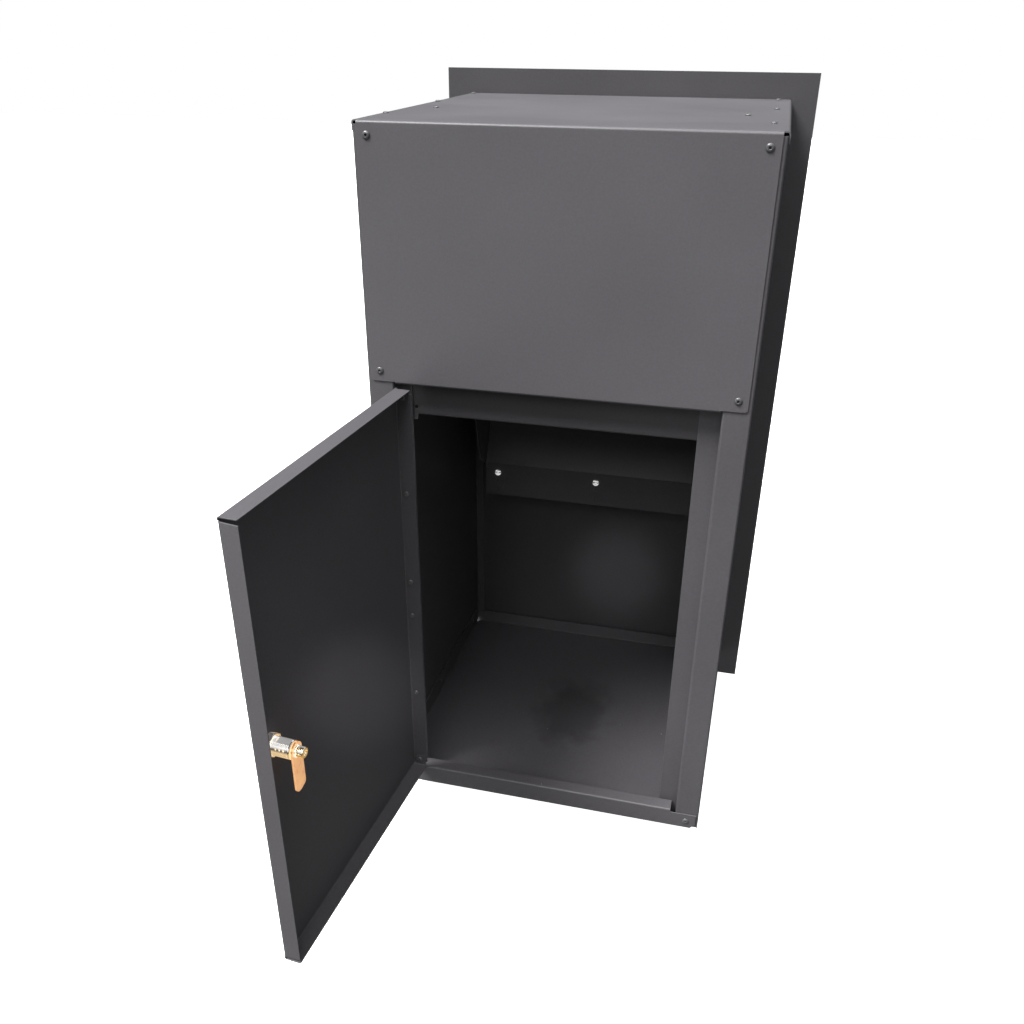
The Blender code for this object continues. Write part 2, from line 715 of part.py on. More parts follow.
# ---------------------------------------------------------------- fasteners
def rivet(name, seat, axis, grip, size, origin=None, swing=False, skin=painted_rivet):
    """Blind rivet: domed head off the outer sheet, shank through both sheets, upset tail."""
    head, shank, tail, rise = size["head"], size["shank"], size["tail"], size["rise"]
    profile = [
        (0.0, GAP + rise),
        (0.55 * head, GAP + 0.85 * rise),
        (0.88 * head, GAP + 0.5 * rise),
        (head, GAP),
        (shank, GAP),
        (shank, -grip - GAP),
        (tail, -grip - GAP),
        (0.8 * tail, -grip - GAP - rise),
        (0.0, -grip - GAP - rise),
    ]
    obj = lathe(profile, RIVET_SIDES, seat, axis, name)
    if swing:
        in_rear_door_pose(obj)
    return publish(obj, name, skin, origin or (0.0, ORIGIN_Y, 0.0), smooth=True)


def cover_rivets():
    names = {-1.0: "left", 1.0: "right"}
    levels = {COVER_RIVET_Z[0]: "lower", COVER_RIVET_Z[1]: "upper"}
    grip = STILE_Y + SHEET
    for side, side_name in names.items():
        for z, level in levels.items():
            seat = (side * COVER_RIVET_X, 0.0, z)
            rivet("cover_rivet_" + level + "_" + side_name, seat, -Y_AXIS, grip, BIG_RIVET)
        seat = (side * SILL_RIVET[0], 0.0, SILL_RIVET[1])
        rivet("sill_rivet_" + side_name, seat, -Y_AXIS, grip, BIG_RIVET)


def top_rivets():
    grip = 2.0 * SHEET + GAP
    stations = {TOP_RIVET_Y[0]: "rear", TOP_RIVET_Y[1]: "mid", TOP_RIVET_Y[2]: "front"}
    for side, side_name in ((-1.0, "left"), (1.0, "right")):
        for y, station in stations.items():
            seat = (TOP_RIVET_X[side], y, BODY_HEIGHT)
            rivet("top_rivet_" + station + "_" + side_name, seat, Z_AXIS, grip, SMALL_RIVET)
        seat = (GUIDE_RIVET_X[side], GUIDE_RIVET_Y, BODY_HEIGHT)
        rivet("guide_rivet_" + side_name, seat, Z_AXIS, grip, SMALL_RIVET)


def tray_rivets():
    grip = WALL_X - TRAY_HALF + SHEET
    stations = {TRAY_RIVET_Y[0]: "mid", TRAY_RIVET_Y[1]: "front"}
    for side, side_name in ((-1.0, "left"), (1.0, "right")):
        for y, station in stations.items():
            seat = (side * WALL_X, y, TRAY_RIVET_Z)
            rivet("tray_rivet_" + station + "_" + side_name, seat, X_AXIS * side, grip, SMALL_RIVET)


def chute_screws():
    """Pan-head screws in the top row of the lip holes, each with its plate nut on the shank."""
    grip = 2.0 * SHEET + GAP
    names = ("left", "mid", "right")
    profile = [
        (0.0, 2.6),
        (2.4, 2.3),
        (4.1, 1.3),
        (4.4, GAP),
        (2.3, GAP),
        (2.3, -grip - GAP),
        (4.2, -grip - GAP),
        (4.2, -grip - 3.5),
        (2.3, -grip - 3.5),
        (2.0, -grip - 7.0),
        (0.0, -grip - 7.0),
    ]
    for x, side_name in zip(CHUTE_HOLE_COLUMNS, names):
        name = "chute_screw_" + side_name
        obj = lathe(profile, RIVET_SIDES, (x, LIP_Y, CHUTE_HOLE_ROWS[0]), -Y_AXIS, name)
        publish(obj, name, zinc_plate, smooth=True)


# ---------------------------------------------------------------- rear door hinges
def hinge_levels():
    for level, (low, high) in HINGE_RIVETS.items():
        start = (low + high - HINGE_TALL) / 2.0
        yield level, start, low, high


def leaf_plan(x_low, x_high, y_far):
    """Plan outline of a hinge leaf that runs tangentially into its rolled knuckle."""
    steps = 16
    knee_y = HINGE_Y + KNUCKLE_R
    first = acos(min((x_high - HINGE_X) / KNUCKLE_R, 1.0))
    last = acos((x_low - HINGE_X) / KNUCKLE_R) - 2.0 * pi
    outline = [(x_low, y_far), (x_high, y_far), (x_high, knee_y)]
    for i in range(steps + 1):
        turn = first + (last - first) * i / steps
        outline.append((HINGE_X + KNUCKLE_R * cos(turn), HINGE_Y + KNUCKLE_R * sin(turn)))
    return outline


def hinge_leaf(x_low, x_high, y_far, foot, notches):
    """Leaf and knuckles in one piece; the notches leave room for the mating knuckles."""
    leaf = prism(leaf_plan(x_low, x_high, y_far), "Z", foot, foot + HINGE_TALL, "leaf")
    clear_y = HINGE_Y + KNUCKLE_R + 1.0
    cutters = []
    for low, high in notches:
        cutters.append(box((HINGE_X - 9.0, HINGE_Y - 9.0, low), (HINGE_X + 9.0, clear_y, high)))
    combine(leaf, cutters, "DIFFERENCE")
    centre = (HINGE_X, HINGE_Y, foot + HINGE_TALL / 2.0)
    return drill(leaf, [centre], Z_AXIS, KNUCKLE_BORE_R, HINGE_TALL, BORE_SIDES)


def hinges():
    frame_x = -STILE_X + GAP
    door_x = DOOR_LEFT - GAP
    k = HINGE_KNUCKLE
    pivot = (HINGE_X, HINGE_Y, 0.0)
    for level, start, low, high in hinge_levels():
        end = start + HINGE_TALL
        notches = [(start + k, end - k)]
        obj = hinge_leaf(frame_x, frame_x + SHEET, 18.0, start, notches)
        publish(obj, "hinge_frame_leaf_" + level, charcoal_powder_coat)
        notches = [(start - 5.0, start + k + GAP), (end - k - GAP, end + 5.0)]
        name = "hinge_door_leaf_" + level
        obj = hinge_leaf(door_x - SHEET, door_x, 15.5, start, notches)
        drill(obj, [(door_x, HINGE_RIVET_Y, z) for z in (low, high)], X_AXIS, SMALL_RIVET_HOLE_R, 3.0)
        in_rear_door_pose(obj)
        publish(obj, name, charcoal_powder_coat, (*pivot[:2], start))
        name = "hinge_pin_" + level
        profile = [
            (0.0, -1.8),
            (1.9, -1.5),
            (1.9, -GAP),
            (HINGE_PIN_R, -GAP),
            (HINGE_PIN_R, HINGE_TALL + GAP),
            (1.9, HINGE_TALL + GAP),
            (1.9, HINGE_TALL + 1.5),
            (0.0, HINGE_TALL + 1.8),
        ]
        pin = lathe(profile, BORE_SIDES, (HINGE_X, HINGE_Y, start), Z_AXIS, name)
        publish(pin, name, zinc_plate, (*pivot[:2], start), smooth=True)


# ---------------------------------------------------------------- rear door
def door_panel():
    """Pan-shaped door: full-width head and foot flanges, slotted corners, riveted hinge corners."""
    edge_l, edge_r = DOOR_LEFT + GAP, DOOR_RIGHT - GAP
    fold_l, fold_r = DOOR_LEFT + BEND_OUT, DOOR_RIGHT - BEND_OUT
    low, high = DOOR_LOW + BEND_OUT, DOOR_HIGH - BEND_OUT
    side_low, side_high = DOOR_LOW + DOOR_SLOT, DOOR_HIGH - DOOR_SLOT
    tab_x = DOOR_LEFT + SHEET + GAP + BEND_OUT
    sheet = Sheet()
    sheet.panel(
        [
            (edge_l, 0.0, low),
            (edge_r, 0.0, low),
            (edge_r, 0.0, side_low - 1.0),
            (fold_r, 0.0, side_low),
            (fold_r, 0.0, side_high),
            (edge_r, 0.0, side_high + 1.0),
            (edge_r, 0.0, high),
            (edge_l, 0.0, high),
            (edge_l, 0.0, side_high + 1.0),
            (fold_l, 0.0, side_high),
            (fold_l, 0.0, side_low),
            (edge_l, 0.0, side_low - 1.0),
        ],
        -Y_AXIS,
    )
    depth = DOOR_FLANGE - BEND_OUT
    sheet.flange((fold_l, 0.0, side_low), (fold_l, 0.0, side_high), -X_AXIS, -Y_AXIS, depth, 1.0, 1.0)
    sheet.flange((fold_r, 0.0, side_low), (fold_r, 0.0, side_high), X_AXIS, -Y_AXIS, depth, 1.0, 1.0)
    for z, up in ((high, Z_AXIS), (low, -Z_AXIS)):
        fold = sheet.bend((edge_l, 0.0, z), (edge_r, 0.0, z), up, -Y_AXIS)
        face_z = fold[0].z
        tab_from, tab_to = BEND_OUT + 1.6, DOOR_FLANGE - 1.5
        sheet.panel(
            [
                fold[0],
                fold[1],
                (edge_r, DOOR_FLANGE - 1.0, face_z),
                (edge_r - 1.0, DOOR_FLANGE, face_z),
                (tab_x, DOOR_FLANGE, face_z),
                (tab_x, tab_to, face_z),
                (tab_x, tab_from, face_z),
                (tab_x - 1.0, tab_from - 0.8, face_z),
                (edge_l, tab_from - 0.8, face_z),
            ],
            up,
        )
        a = (tab_x, tab_from, face_z)
        b = (tab_x, tab_to, face_z)
        sheet.flange(a, b, -X_AXIS, up, 13.0, 1.5, 1.5)
    obj = sheet.solid("door_panel")
    drill(obj, [(LOCK_X, 0.0, LOCK_Z)], Y_AXIS, BARREL_R + GAP, 5.0, BORE_SIDES)
    seats = [z for pair in HINGE_RIVETS.values() for z in pair]
    drill(obj, [(DOOR_LEFT, HINGE_RIVET_Y, z) for z in seats], X_AXIS, SMALL_RIVET_HOLE_R, 2.0)
    corners = (DOOR_LOW + 9.5, DOOR_HIGH - 9.5)
    drill(obj, [(DOOR_LEFT + 1.5, HINGE_RIVET_Y + 1.5, z) for z in corners], X_AXIS, SMALL_RIVET_HOLE_R, 3.0)
    in_rear_door_pose(obj)
    return publish(obj, "door_panel", charcoal_powder_coat, (HINGE_X, HINGE_Y, DOOR_LOW))


def door_rivets():
    pivot = (HINGE_X, HINGE_Y, DOOR_LOW)
    grip = 2.0 * SHEET + GAP
    inside = DOOR_LEFT + SHEET
    for level, _start, low, high in hinge_levels():
        for z, end in ((low, "low"), (high, "high")):
            name = "hinge_rivet_" + level + "_" + end
            seat = (inside, HINGE_RIVET_Y, z)
            rivet(name, seat, X_AXIS, grip, SMALL_RIVET, pivot, swing=True)
    inside = DOOR_LEFT + 2.0 * SHEET + GAP
    for z, end in ((DOOR_LOW + 9.5, "foot"), (DOOR_HIGH - 9.5, "head")):
        seat = (inside, HINGE_RIVET_Y + 1.5, z)
        rivet("door_corner_rivet_" + end, seat, X_AXIS, grip, SMALL_RIVET, pivot, swing=True)


# ---------------------------------------------------------------- cam lock
def lock_axis_point(y):
    return Vector((LOCK_X, y, LOCK_Z))


def hexagon(across_flats, centre_x, centre_z, turn):
    corner = across_flats / sqrt(3.0)
    turns = [radians(turn) + 2.0 * pi * i / 6.0 for i in range(6)]
    return [(centre_x + corner * cos(t), centre_z + corner * sin(t)) for t in turns]


def lock_barrel():
    """Barrel with a domed bezel outside the door, two flats short of its end collar and a clear bore."""
    profile = [
        (0.0, -3.4),
        (BEZEL_R - 3.2, -3.4),
        (BEZEL_R - 0.8, -2.6),
        (BEZEL_R, -1.2),
        (BEZEL_R, -GAP),
        (BARREL_R, -GAP),
        (BARREL_R, BARREL_END_Y - 0.8),
        (BARREL_R - 0.8, BARREL_END_Y),
        (0.0, BARREL_END_Y),
    ]
    obj = lathe(profile, 32, lock_axis_point(0.0), Y_AXIS, "lock_barrel")
    flats = []
    for side in (-1.0, 1.0):
        z_in = LOCK_Z + side * BARREL_FLAT
        z_out = LOCK_Z + side * (BARREL_R + 3.0)
        low = (LOCK_X - 15.0, FLAT_FROM_Y, min(z_in, z_out))
        high = (LOCK_X + 15.0, FLAT_TO_Y, max(z_in, z_out))
        flats.append(box(low, high))
    combine(obj, flats, "DIFFERENCE")
    drill(obj, [lock_axis_point(9.0)], Y_AXIS, PLUG_R + 0.1, 20.0, 32)
    in_rear_door_pose(obj)
    origin = closed_to_rest(lock_axis_point(0.0))
    return publish(obj, "lock_barrel", chrome_plate, origin)


def lock_nut():
    start = SHEET + GAP
    obj = prism(hexagon(NUT_FLATS, LOCK_X, LOCK_Z, NUT_TURN), "Y", start, start + NUT_THICK, "lock_nut")
    drill(obj, [lock_axis_point(start)], Y_AXIS, BARREL_R + 0.15, 12.0, 32)
    in_rear_door_pose(obj)
    return publish(obj, "lock_nut", chrome_plate, closed_to_rest(lock_axis_point(start)))


def lock_plug():
    """Turning core: key face with a plain slot, spigot for the cam and a tapped end."""
    profile = [
        (0.0, -3.2),
        (PLUG_R, -3.2),
        (PLUG_R, CAM_Y - GAP),
        (SPIGOT_R, CAM_Y - GAP),
        (SPIGOT_R, CAM_Y + CAM_THICK + 0.1),
        (0.0, CAM_Y + CAM_THICK + 0.1),
    ]
    obj = lathe(profile, 32, lock_axis_point(0.0), Y_AXIS, "lock_plug")
    keyway = box((LOCK_X - 0.8, -6.0, LOCK_Z - 4.2), (LOCK_X + 0.8, 8.0, LOCK_Z + 4.2))
    tapped = rod(2.3, 14.0, lock_axis_point(CAM_Y - 7.0), Y_AXIS, 16)
    combine(obj, [keyway, tapped], "DIFFERENCE")
    in_rear_door_pose(obj)
    return publish(obj, "lock_plug", chrome_plate, closed_to_rest(lock_axis_point(0.0)))


def lock_cam():
    """Flat cam hanging below the plug, set off towards the hinge, with a blunt sloping tip."""
    tip = LOCK_Z - CAM_REACH
    inner = LOCK_X - CAM_INNER
    outer = LOCK_X + CAM_OUTER
    radius = (outer - inner) / 2.0
    round_steps = 10
    head = []
    for i in range(round_steps + 1):
        turn = pi * i / round_steps
        head.append((outer - radius + radius * cos(turn), LOCK_Z + radius * sin(turn)))
    outline = head + [
        (inner, tip + 4.8),
        (inner + 1.4, tip + 2.3),
        (inner + 9.2, tip),
        (outer - 3.5, tip + 0.3),
        (outer - 1.2, tip + 2.1),
        (outer, tip + 4.6),
    ]
    obj = prism(outline, "Y", CAM_Y, CAM_Y + CAM_THICK, "lock_cam")
    drill(obj, [lock_axis_point(CAM_Y)], Y_AXIS, SPIGOT_R + 0.15, 8.0, 32)
    in_rear_door_pose(obj)
    return publish(obj, "lock_cam", yellow_zinc, closed_to_rest(lock_axis_point(CAM_Y)))


def lock_fixings():
    """Plain washer and the brass end screw that clamps the cam on the plug."""
    washer_y = CAM_Y + CAM_THICK + GAP
    washer_thick = 1.3
    washer = tube(2.5, 6.4, washer_thick, 24, lock_axis_point(washer_y), Y_AXIS, "cam_washer")
    in_rear_door_pose(washer)
    publish(washer, "cam_washer", zinc_plate, closed_to_rest(lock_axis_point(washer_y)))
    seat = washer_y + washer_thick + GAP
    head = CAM_SCREW_R
    profile = [
        (0.0, -7.5),
        (2.0, -7.5),
        (2.0, 0.0),
        (head, 0.0),
        (head, CAM_SCREW_HEAD - 0.7),
        (head - 0.7, CAM_SCREW_HEAD),
        (2.8, CAM_SCREW_HEAD),
        (2.2, CAM_SCREW_HEAD - 2.9),
        (0.0, CAM_SCREW_HEAD - 2.9),
    ]
    screw = lathe(profile, 24, lock_axis_point(seat), Y_AXIS, "cam_screw")
    in_rear_door_pose(screw)
    publish(screw, "cam_screw", brass, closed_to_rest(lock_axis_point(seat)))


# ---------------------------------------------------------------- street hopper
HOPPER_PIVOT = (0.0, HOPPER_Y, HOPPER_Z)


def hopper_flap():
    """Pan-shaped delivery flap that sits in the opening, flush with the face plate."""
    half_fold = FLAP_HALF - BEND_OUT
    face_y = BODY_DEPTH + PLATE_THICK
    top = FLAP_HIGH - BEND_OUT
    side_low, side_high = FLAP_LOW + 1.0, FLAP_HIGH - 4.0
    sheet = Sheet()
    sheet.panel(
        [
            (-half_fold, face_y, FLAP_LOW),
            (half_fold, face_y, FLAP_LOW),
            (half_fold, face_y, side_low),
            (half_fold, face_y, side_high),
            (half_fold, face_y, top),
            (-half_fold, face_y, top),
            (-half_fold, face_y, side_high),
            (-half_fold, face_y, side_low),
        ],
        Y_AXIS,
    )
    depth = FLAP_DEEP - BEND_OUT
    for side in (-1.0, 1.0):
        low = (side * half_fold, face_y, side_low)
        high = (side * half_fold, face_y, side_high)
        sheet.flange(low, high, X_AXIS * side, Y_AXIS, depth, 1.0, 1.0)
    sheet.flange((-half_fold, face_y, top), (half_fold, face_y, top), Z_AXIS, Y_AXIS, depth, 1.0, 1.0)
    obj = sheet.solid("hopper_flap")
    seats = [(s * FLAP_HALF, HOPPER_Y, HOPPER_Z) for s in (-1.0, 1.0)]
    drill(obj, seats, X_AXIS, HOPPER_BORE_R, 3.0, BORE_SIDES)
    return publish(obj, "hopper_flap", charcoal_powder_coat, HOPPER_PIVOT)


def hopper_bucket():
    """Swinging tray behind the flap: a sloping floor folded up into two quadrant cheeks."""
    beta = radians(BUCKET_ANGLE)
    pivot = Vector(HOPPER_PIVOT)
    along = Vector((0.0, -sin(beta), cos(beta)))
    down = Vector((0.0, -cos(beta), -sin(beta)))
    drop = 10.0
    near_r, far_r = 25.0, BUCKET_R - 3.0
    half_fold = BUCKET_HALF - BEND_OUT
    near = pivot + along * near_r + down * drop
    far = pivot + along * far_r + down * drop
    sheet = Sheet()
    corners = [near - X_AXIS * half_fold, near + X_AXIS * half_fold]
    corners += [far + X_AXIS * half_fold, far - X_AXIS * half_fold]
    sheet.panel(corners, down)
    sheet.flange(corners[3], corners[2], along, down, 9.0, 3.0, 3.0)
    front = BODY_DEPTH + PLATE_THICK - SHEET - 1.3 - HOPPER_Y
    arc_steps = 9
    first = beta - 0.06
    last = acos(sqrt(1.0 - (front / BUCKET_R) ** 2))
    for side in (-1.0, 1.0):
        out = X_AXIS * side
        fold = sheet.bend(near + out * half_fold, far + out * half_fold, out, down)
        outline = [fold[0], fold[1]]
        for i in range(arc_steps + 1):
            turn = first - (first + last) * i / arc_steps
            outline.append(Vector((side * BUCKET_HALF, HOPPER_Y - BUCKET_R * sin(turn), HOPPER_Z + BUCKET_R * cos(turn))))
        outline.append(Vector((side * BUCKET_HALF, HOPPER_Y + front, HOPPER_Z - 4.0)))
        outline.append(Vector((side * BUCKET_HALF, HOPPER_Y - 2.0, HOPPER_Z - 9.0)))
        sheet.panel(outline, out)
    obj = sheet.solid("hopper_bucket")
    seats = [(s * BUCKET_HALF, HOPPER_Y, HOPPER_Z) for s in (-1.0, 1.0)]
    drill(obj, seats, X_AXIS, HOPPER_BORE_R, 3.0, BORE_SIDES)
    return publish(obj, "hopper_bucket", charcoal_powder_coat, HOPPER_PIVOT)


def hopper_pins():
    """Shouldered pivot pins through the side guides, flap flanges and bucket cheeks."""
    inner = BUCKET_HALF - SHEET - GAP
    profile = [
        (0.0, CHEEK_X + GAP + 2.2),
        (4.6, CHEEK_X + GAP + 2.2),
        (5.5, CHEEK_X + GAP + 1.4),
        (5.5, CHEEK_X + GAP),
        (HOPPER_PIN_R, CHEEK_X + GAP),
        (HOPPER_PIN_R, inner),
        (4.5, inner),
        (4.5, inner - 1.5),
        (0.0, inner - 1.5),
    ]
    for side, side_name in ((-1.0, "left"), (1.0, "right")):
        name = "hopper_pin_" + side_name
        obj = lathe(profile, BORE_SIDES, HOPPER_PIVOT, X_AXIS * side, name)
        publish(obj, name, zinc_plate, HOPPER_PIVOT, smooth=True)


def flap_bumpers():
    for side, side_name in ((-1.0, "left"), (1.0, "right")):
        name = "flap_bumper_" + side_name
        base = (side * 120.0, STOP_STRIP_Y + GAP, 776.0)
        profile = [(0.0, 0.0), (5.0, 0.0), (4.4, 1.0), (0.0, 1.0)]
        obj = lathe(profile, RIVET_SIDES, base, Y_AXIS, name)
        publish(obj, name, black_rubber, smooth=True)


def flap_handle():
    """Round-bar pull: two legs off the flap and a level grip with rounded corners."""
    radius, corner = 5.0, 14.0
    half, stand, level = 62.0, 30.0, 742.0
    face = BODY_DEPTH + PLATE_THICK + GAP
    sides, steps = 10, 4
    path = [Vector((-half, face, level)), Vector((-half, face + stand - corner, level))]
    for i in range(1, steps + 1):
        turn = 0.5 * pi * i / steps
        path.append(Vector((-half + corner * (1.0 - cos(turn)), face + stand - corner * (1.0 - sin(turn)), level)))
    path += [Vector((-p.x, p.y, p.z)) for p in reversed(path)]
    bm = bmesh.new()
    rows = []
    for i, point in enumerate(path):
        before = path[max(i - 1, 0)]
        after = path[min(i + 1, len(path) - 1)]
        heading = (after - before).normalized()
        side = heading.cross(Z_AXIS).normalized()
        ring = []
        for j in range(sides):
            turn = 2.0 * pi * j / sides
            ring.append(bm.verts.new(point + side * (radius * cos(turn)) + Z_AXIS * (radius * sin(turn))))
        rows.append(ring)
    for lower, upper in zip(rows, rows[1:]):
        for i in range(sides):
            j = (i + 1) % sides
            bm.faces.new((lower[i], lower[j], upper[j], upper[i]))
    bm.faces.new(rows[0])
    bm.faces.new(rows[-1])
    bmesh.ops.recalc_face_normals(bm, faces=bm.faces)
    obj = object_from(bm, "flap_handle")
    return publish(obj, "flap_handle", zinc_plate, HOPPER_PIVOT, smooth=True)


# ---------------------------------------------------------------- build
def build():
    for obj in list(bpy.data.objects):
        bpy.data.objects.remove(obj, do_unlink=True)
    side_panel(-1.0, "side_panel_left", STOP_X_HINGE)
    side_panel(1.0, "side_panel_right", STOP_X_LATCH)
    top_cover()
    floor_tray()
    header_rail()
    face_plate()
    chute_plate()
    chute_support()
    chute_cheek(-1.0, "chute_cheek_left")
    chute_cheek(1.0, "chute_cheek_right")
    flap_stop_strip()
    cover_rivets()
    top_rivets()
    tray_rivets()
    chute_screws()
    hinges()
    door_panel()
    door_rivets()
    lock_barrel()
    lock_nut()
    lock_plug()
    lock_cam()
    lock_fixings()
    hopper_flap()
    hopper_bucket()
    hopper_pins()
    flap_bumpers()
    flap_handle()


build()
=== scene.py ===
import json
from math import cos, pi, radians, sin

import bmesh
import bpy
from mathutils import Matrix, Vector


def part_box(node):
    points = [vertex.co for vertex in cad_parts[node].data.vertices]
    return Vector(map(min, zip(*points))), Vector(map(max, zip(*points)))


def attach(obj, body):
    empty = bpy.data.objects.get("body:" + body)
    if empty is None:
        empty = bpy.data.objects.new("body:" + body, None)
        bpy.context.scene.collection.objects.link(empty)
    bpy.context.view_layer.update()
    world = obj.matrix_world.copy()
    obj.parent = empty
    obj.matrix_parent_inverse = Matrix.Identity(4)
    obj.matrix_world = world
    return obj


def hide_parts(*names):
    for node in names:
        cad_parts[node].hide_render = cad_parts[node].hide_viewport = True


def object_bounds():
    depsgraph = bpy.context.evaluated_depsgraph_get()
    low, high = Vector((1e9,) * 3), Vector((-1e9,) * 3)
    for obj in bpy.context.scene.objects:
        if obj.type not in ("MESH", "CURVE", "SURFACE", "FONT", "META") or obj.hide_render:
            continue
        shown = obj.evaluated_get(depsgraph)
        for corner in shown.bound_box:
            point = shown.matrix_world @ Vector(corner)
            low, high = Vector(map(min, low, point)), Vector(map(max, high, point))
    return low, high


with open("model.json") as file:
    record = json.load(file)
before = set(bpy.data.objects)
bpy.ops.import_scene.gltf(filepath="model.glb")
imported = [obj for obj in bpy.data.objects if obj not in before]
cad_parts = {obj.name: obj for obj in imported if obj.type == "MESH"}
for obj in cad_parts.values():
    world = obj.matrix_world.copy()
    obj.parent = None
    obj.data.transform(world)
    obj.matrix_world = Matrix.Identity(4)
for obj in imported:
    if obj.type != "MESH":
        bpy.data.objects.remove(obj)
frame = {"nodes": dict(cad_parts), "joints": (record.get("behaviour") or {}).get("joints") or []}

CAD_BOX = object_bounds()
NODES = frame["nodes"]
JOINTS = {joint["name"]: joint for joint in frame["joints"]}

MM = 0.001
X_AXIS = Vector((1.0, 0.0, 0.0))
Y_AXIS = Vector((0.0, 1.0, 0.0))
Z_AXIS = Vector((0.0, 0.0, 1.0))

# The rear door is at rest this far from closed, turned back about its pins.
DOOR_TURN = Matrix.Rotation(radians(-JOINTS["rear_door"]["range_deg"][1]), 3, "Z")
DOOR_IN = DOOR_TURN @ Y_AXIS
DOOR_ACROSS = DOOR_TURN @ X_AXIS

# Camera: metres, degrees and millimetres of lens, looking down from the right of the door side.
CAMERA_AT = (0.19123, -1.14528, 0.88165)
CAMERA_AZIMUTH = 14.28
CAMERA_DOWN = 29.105
CAMERA_ROLL = 0.275
CAMERA_LENS = 34.453
CAMERA_SHIFT = (0.00659, 0.05299)


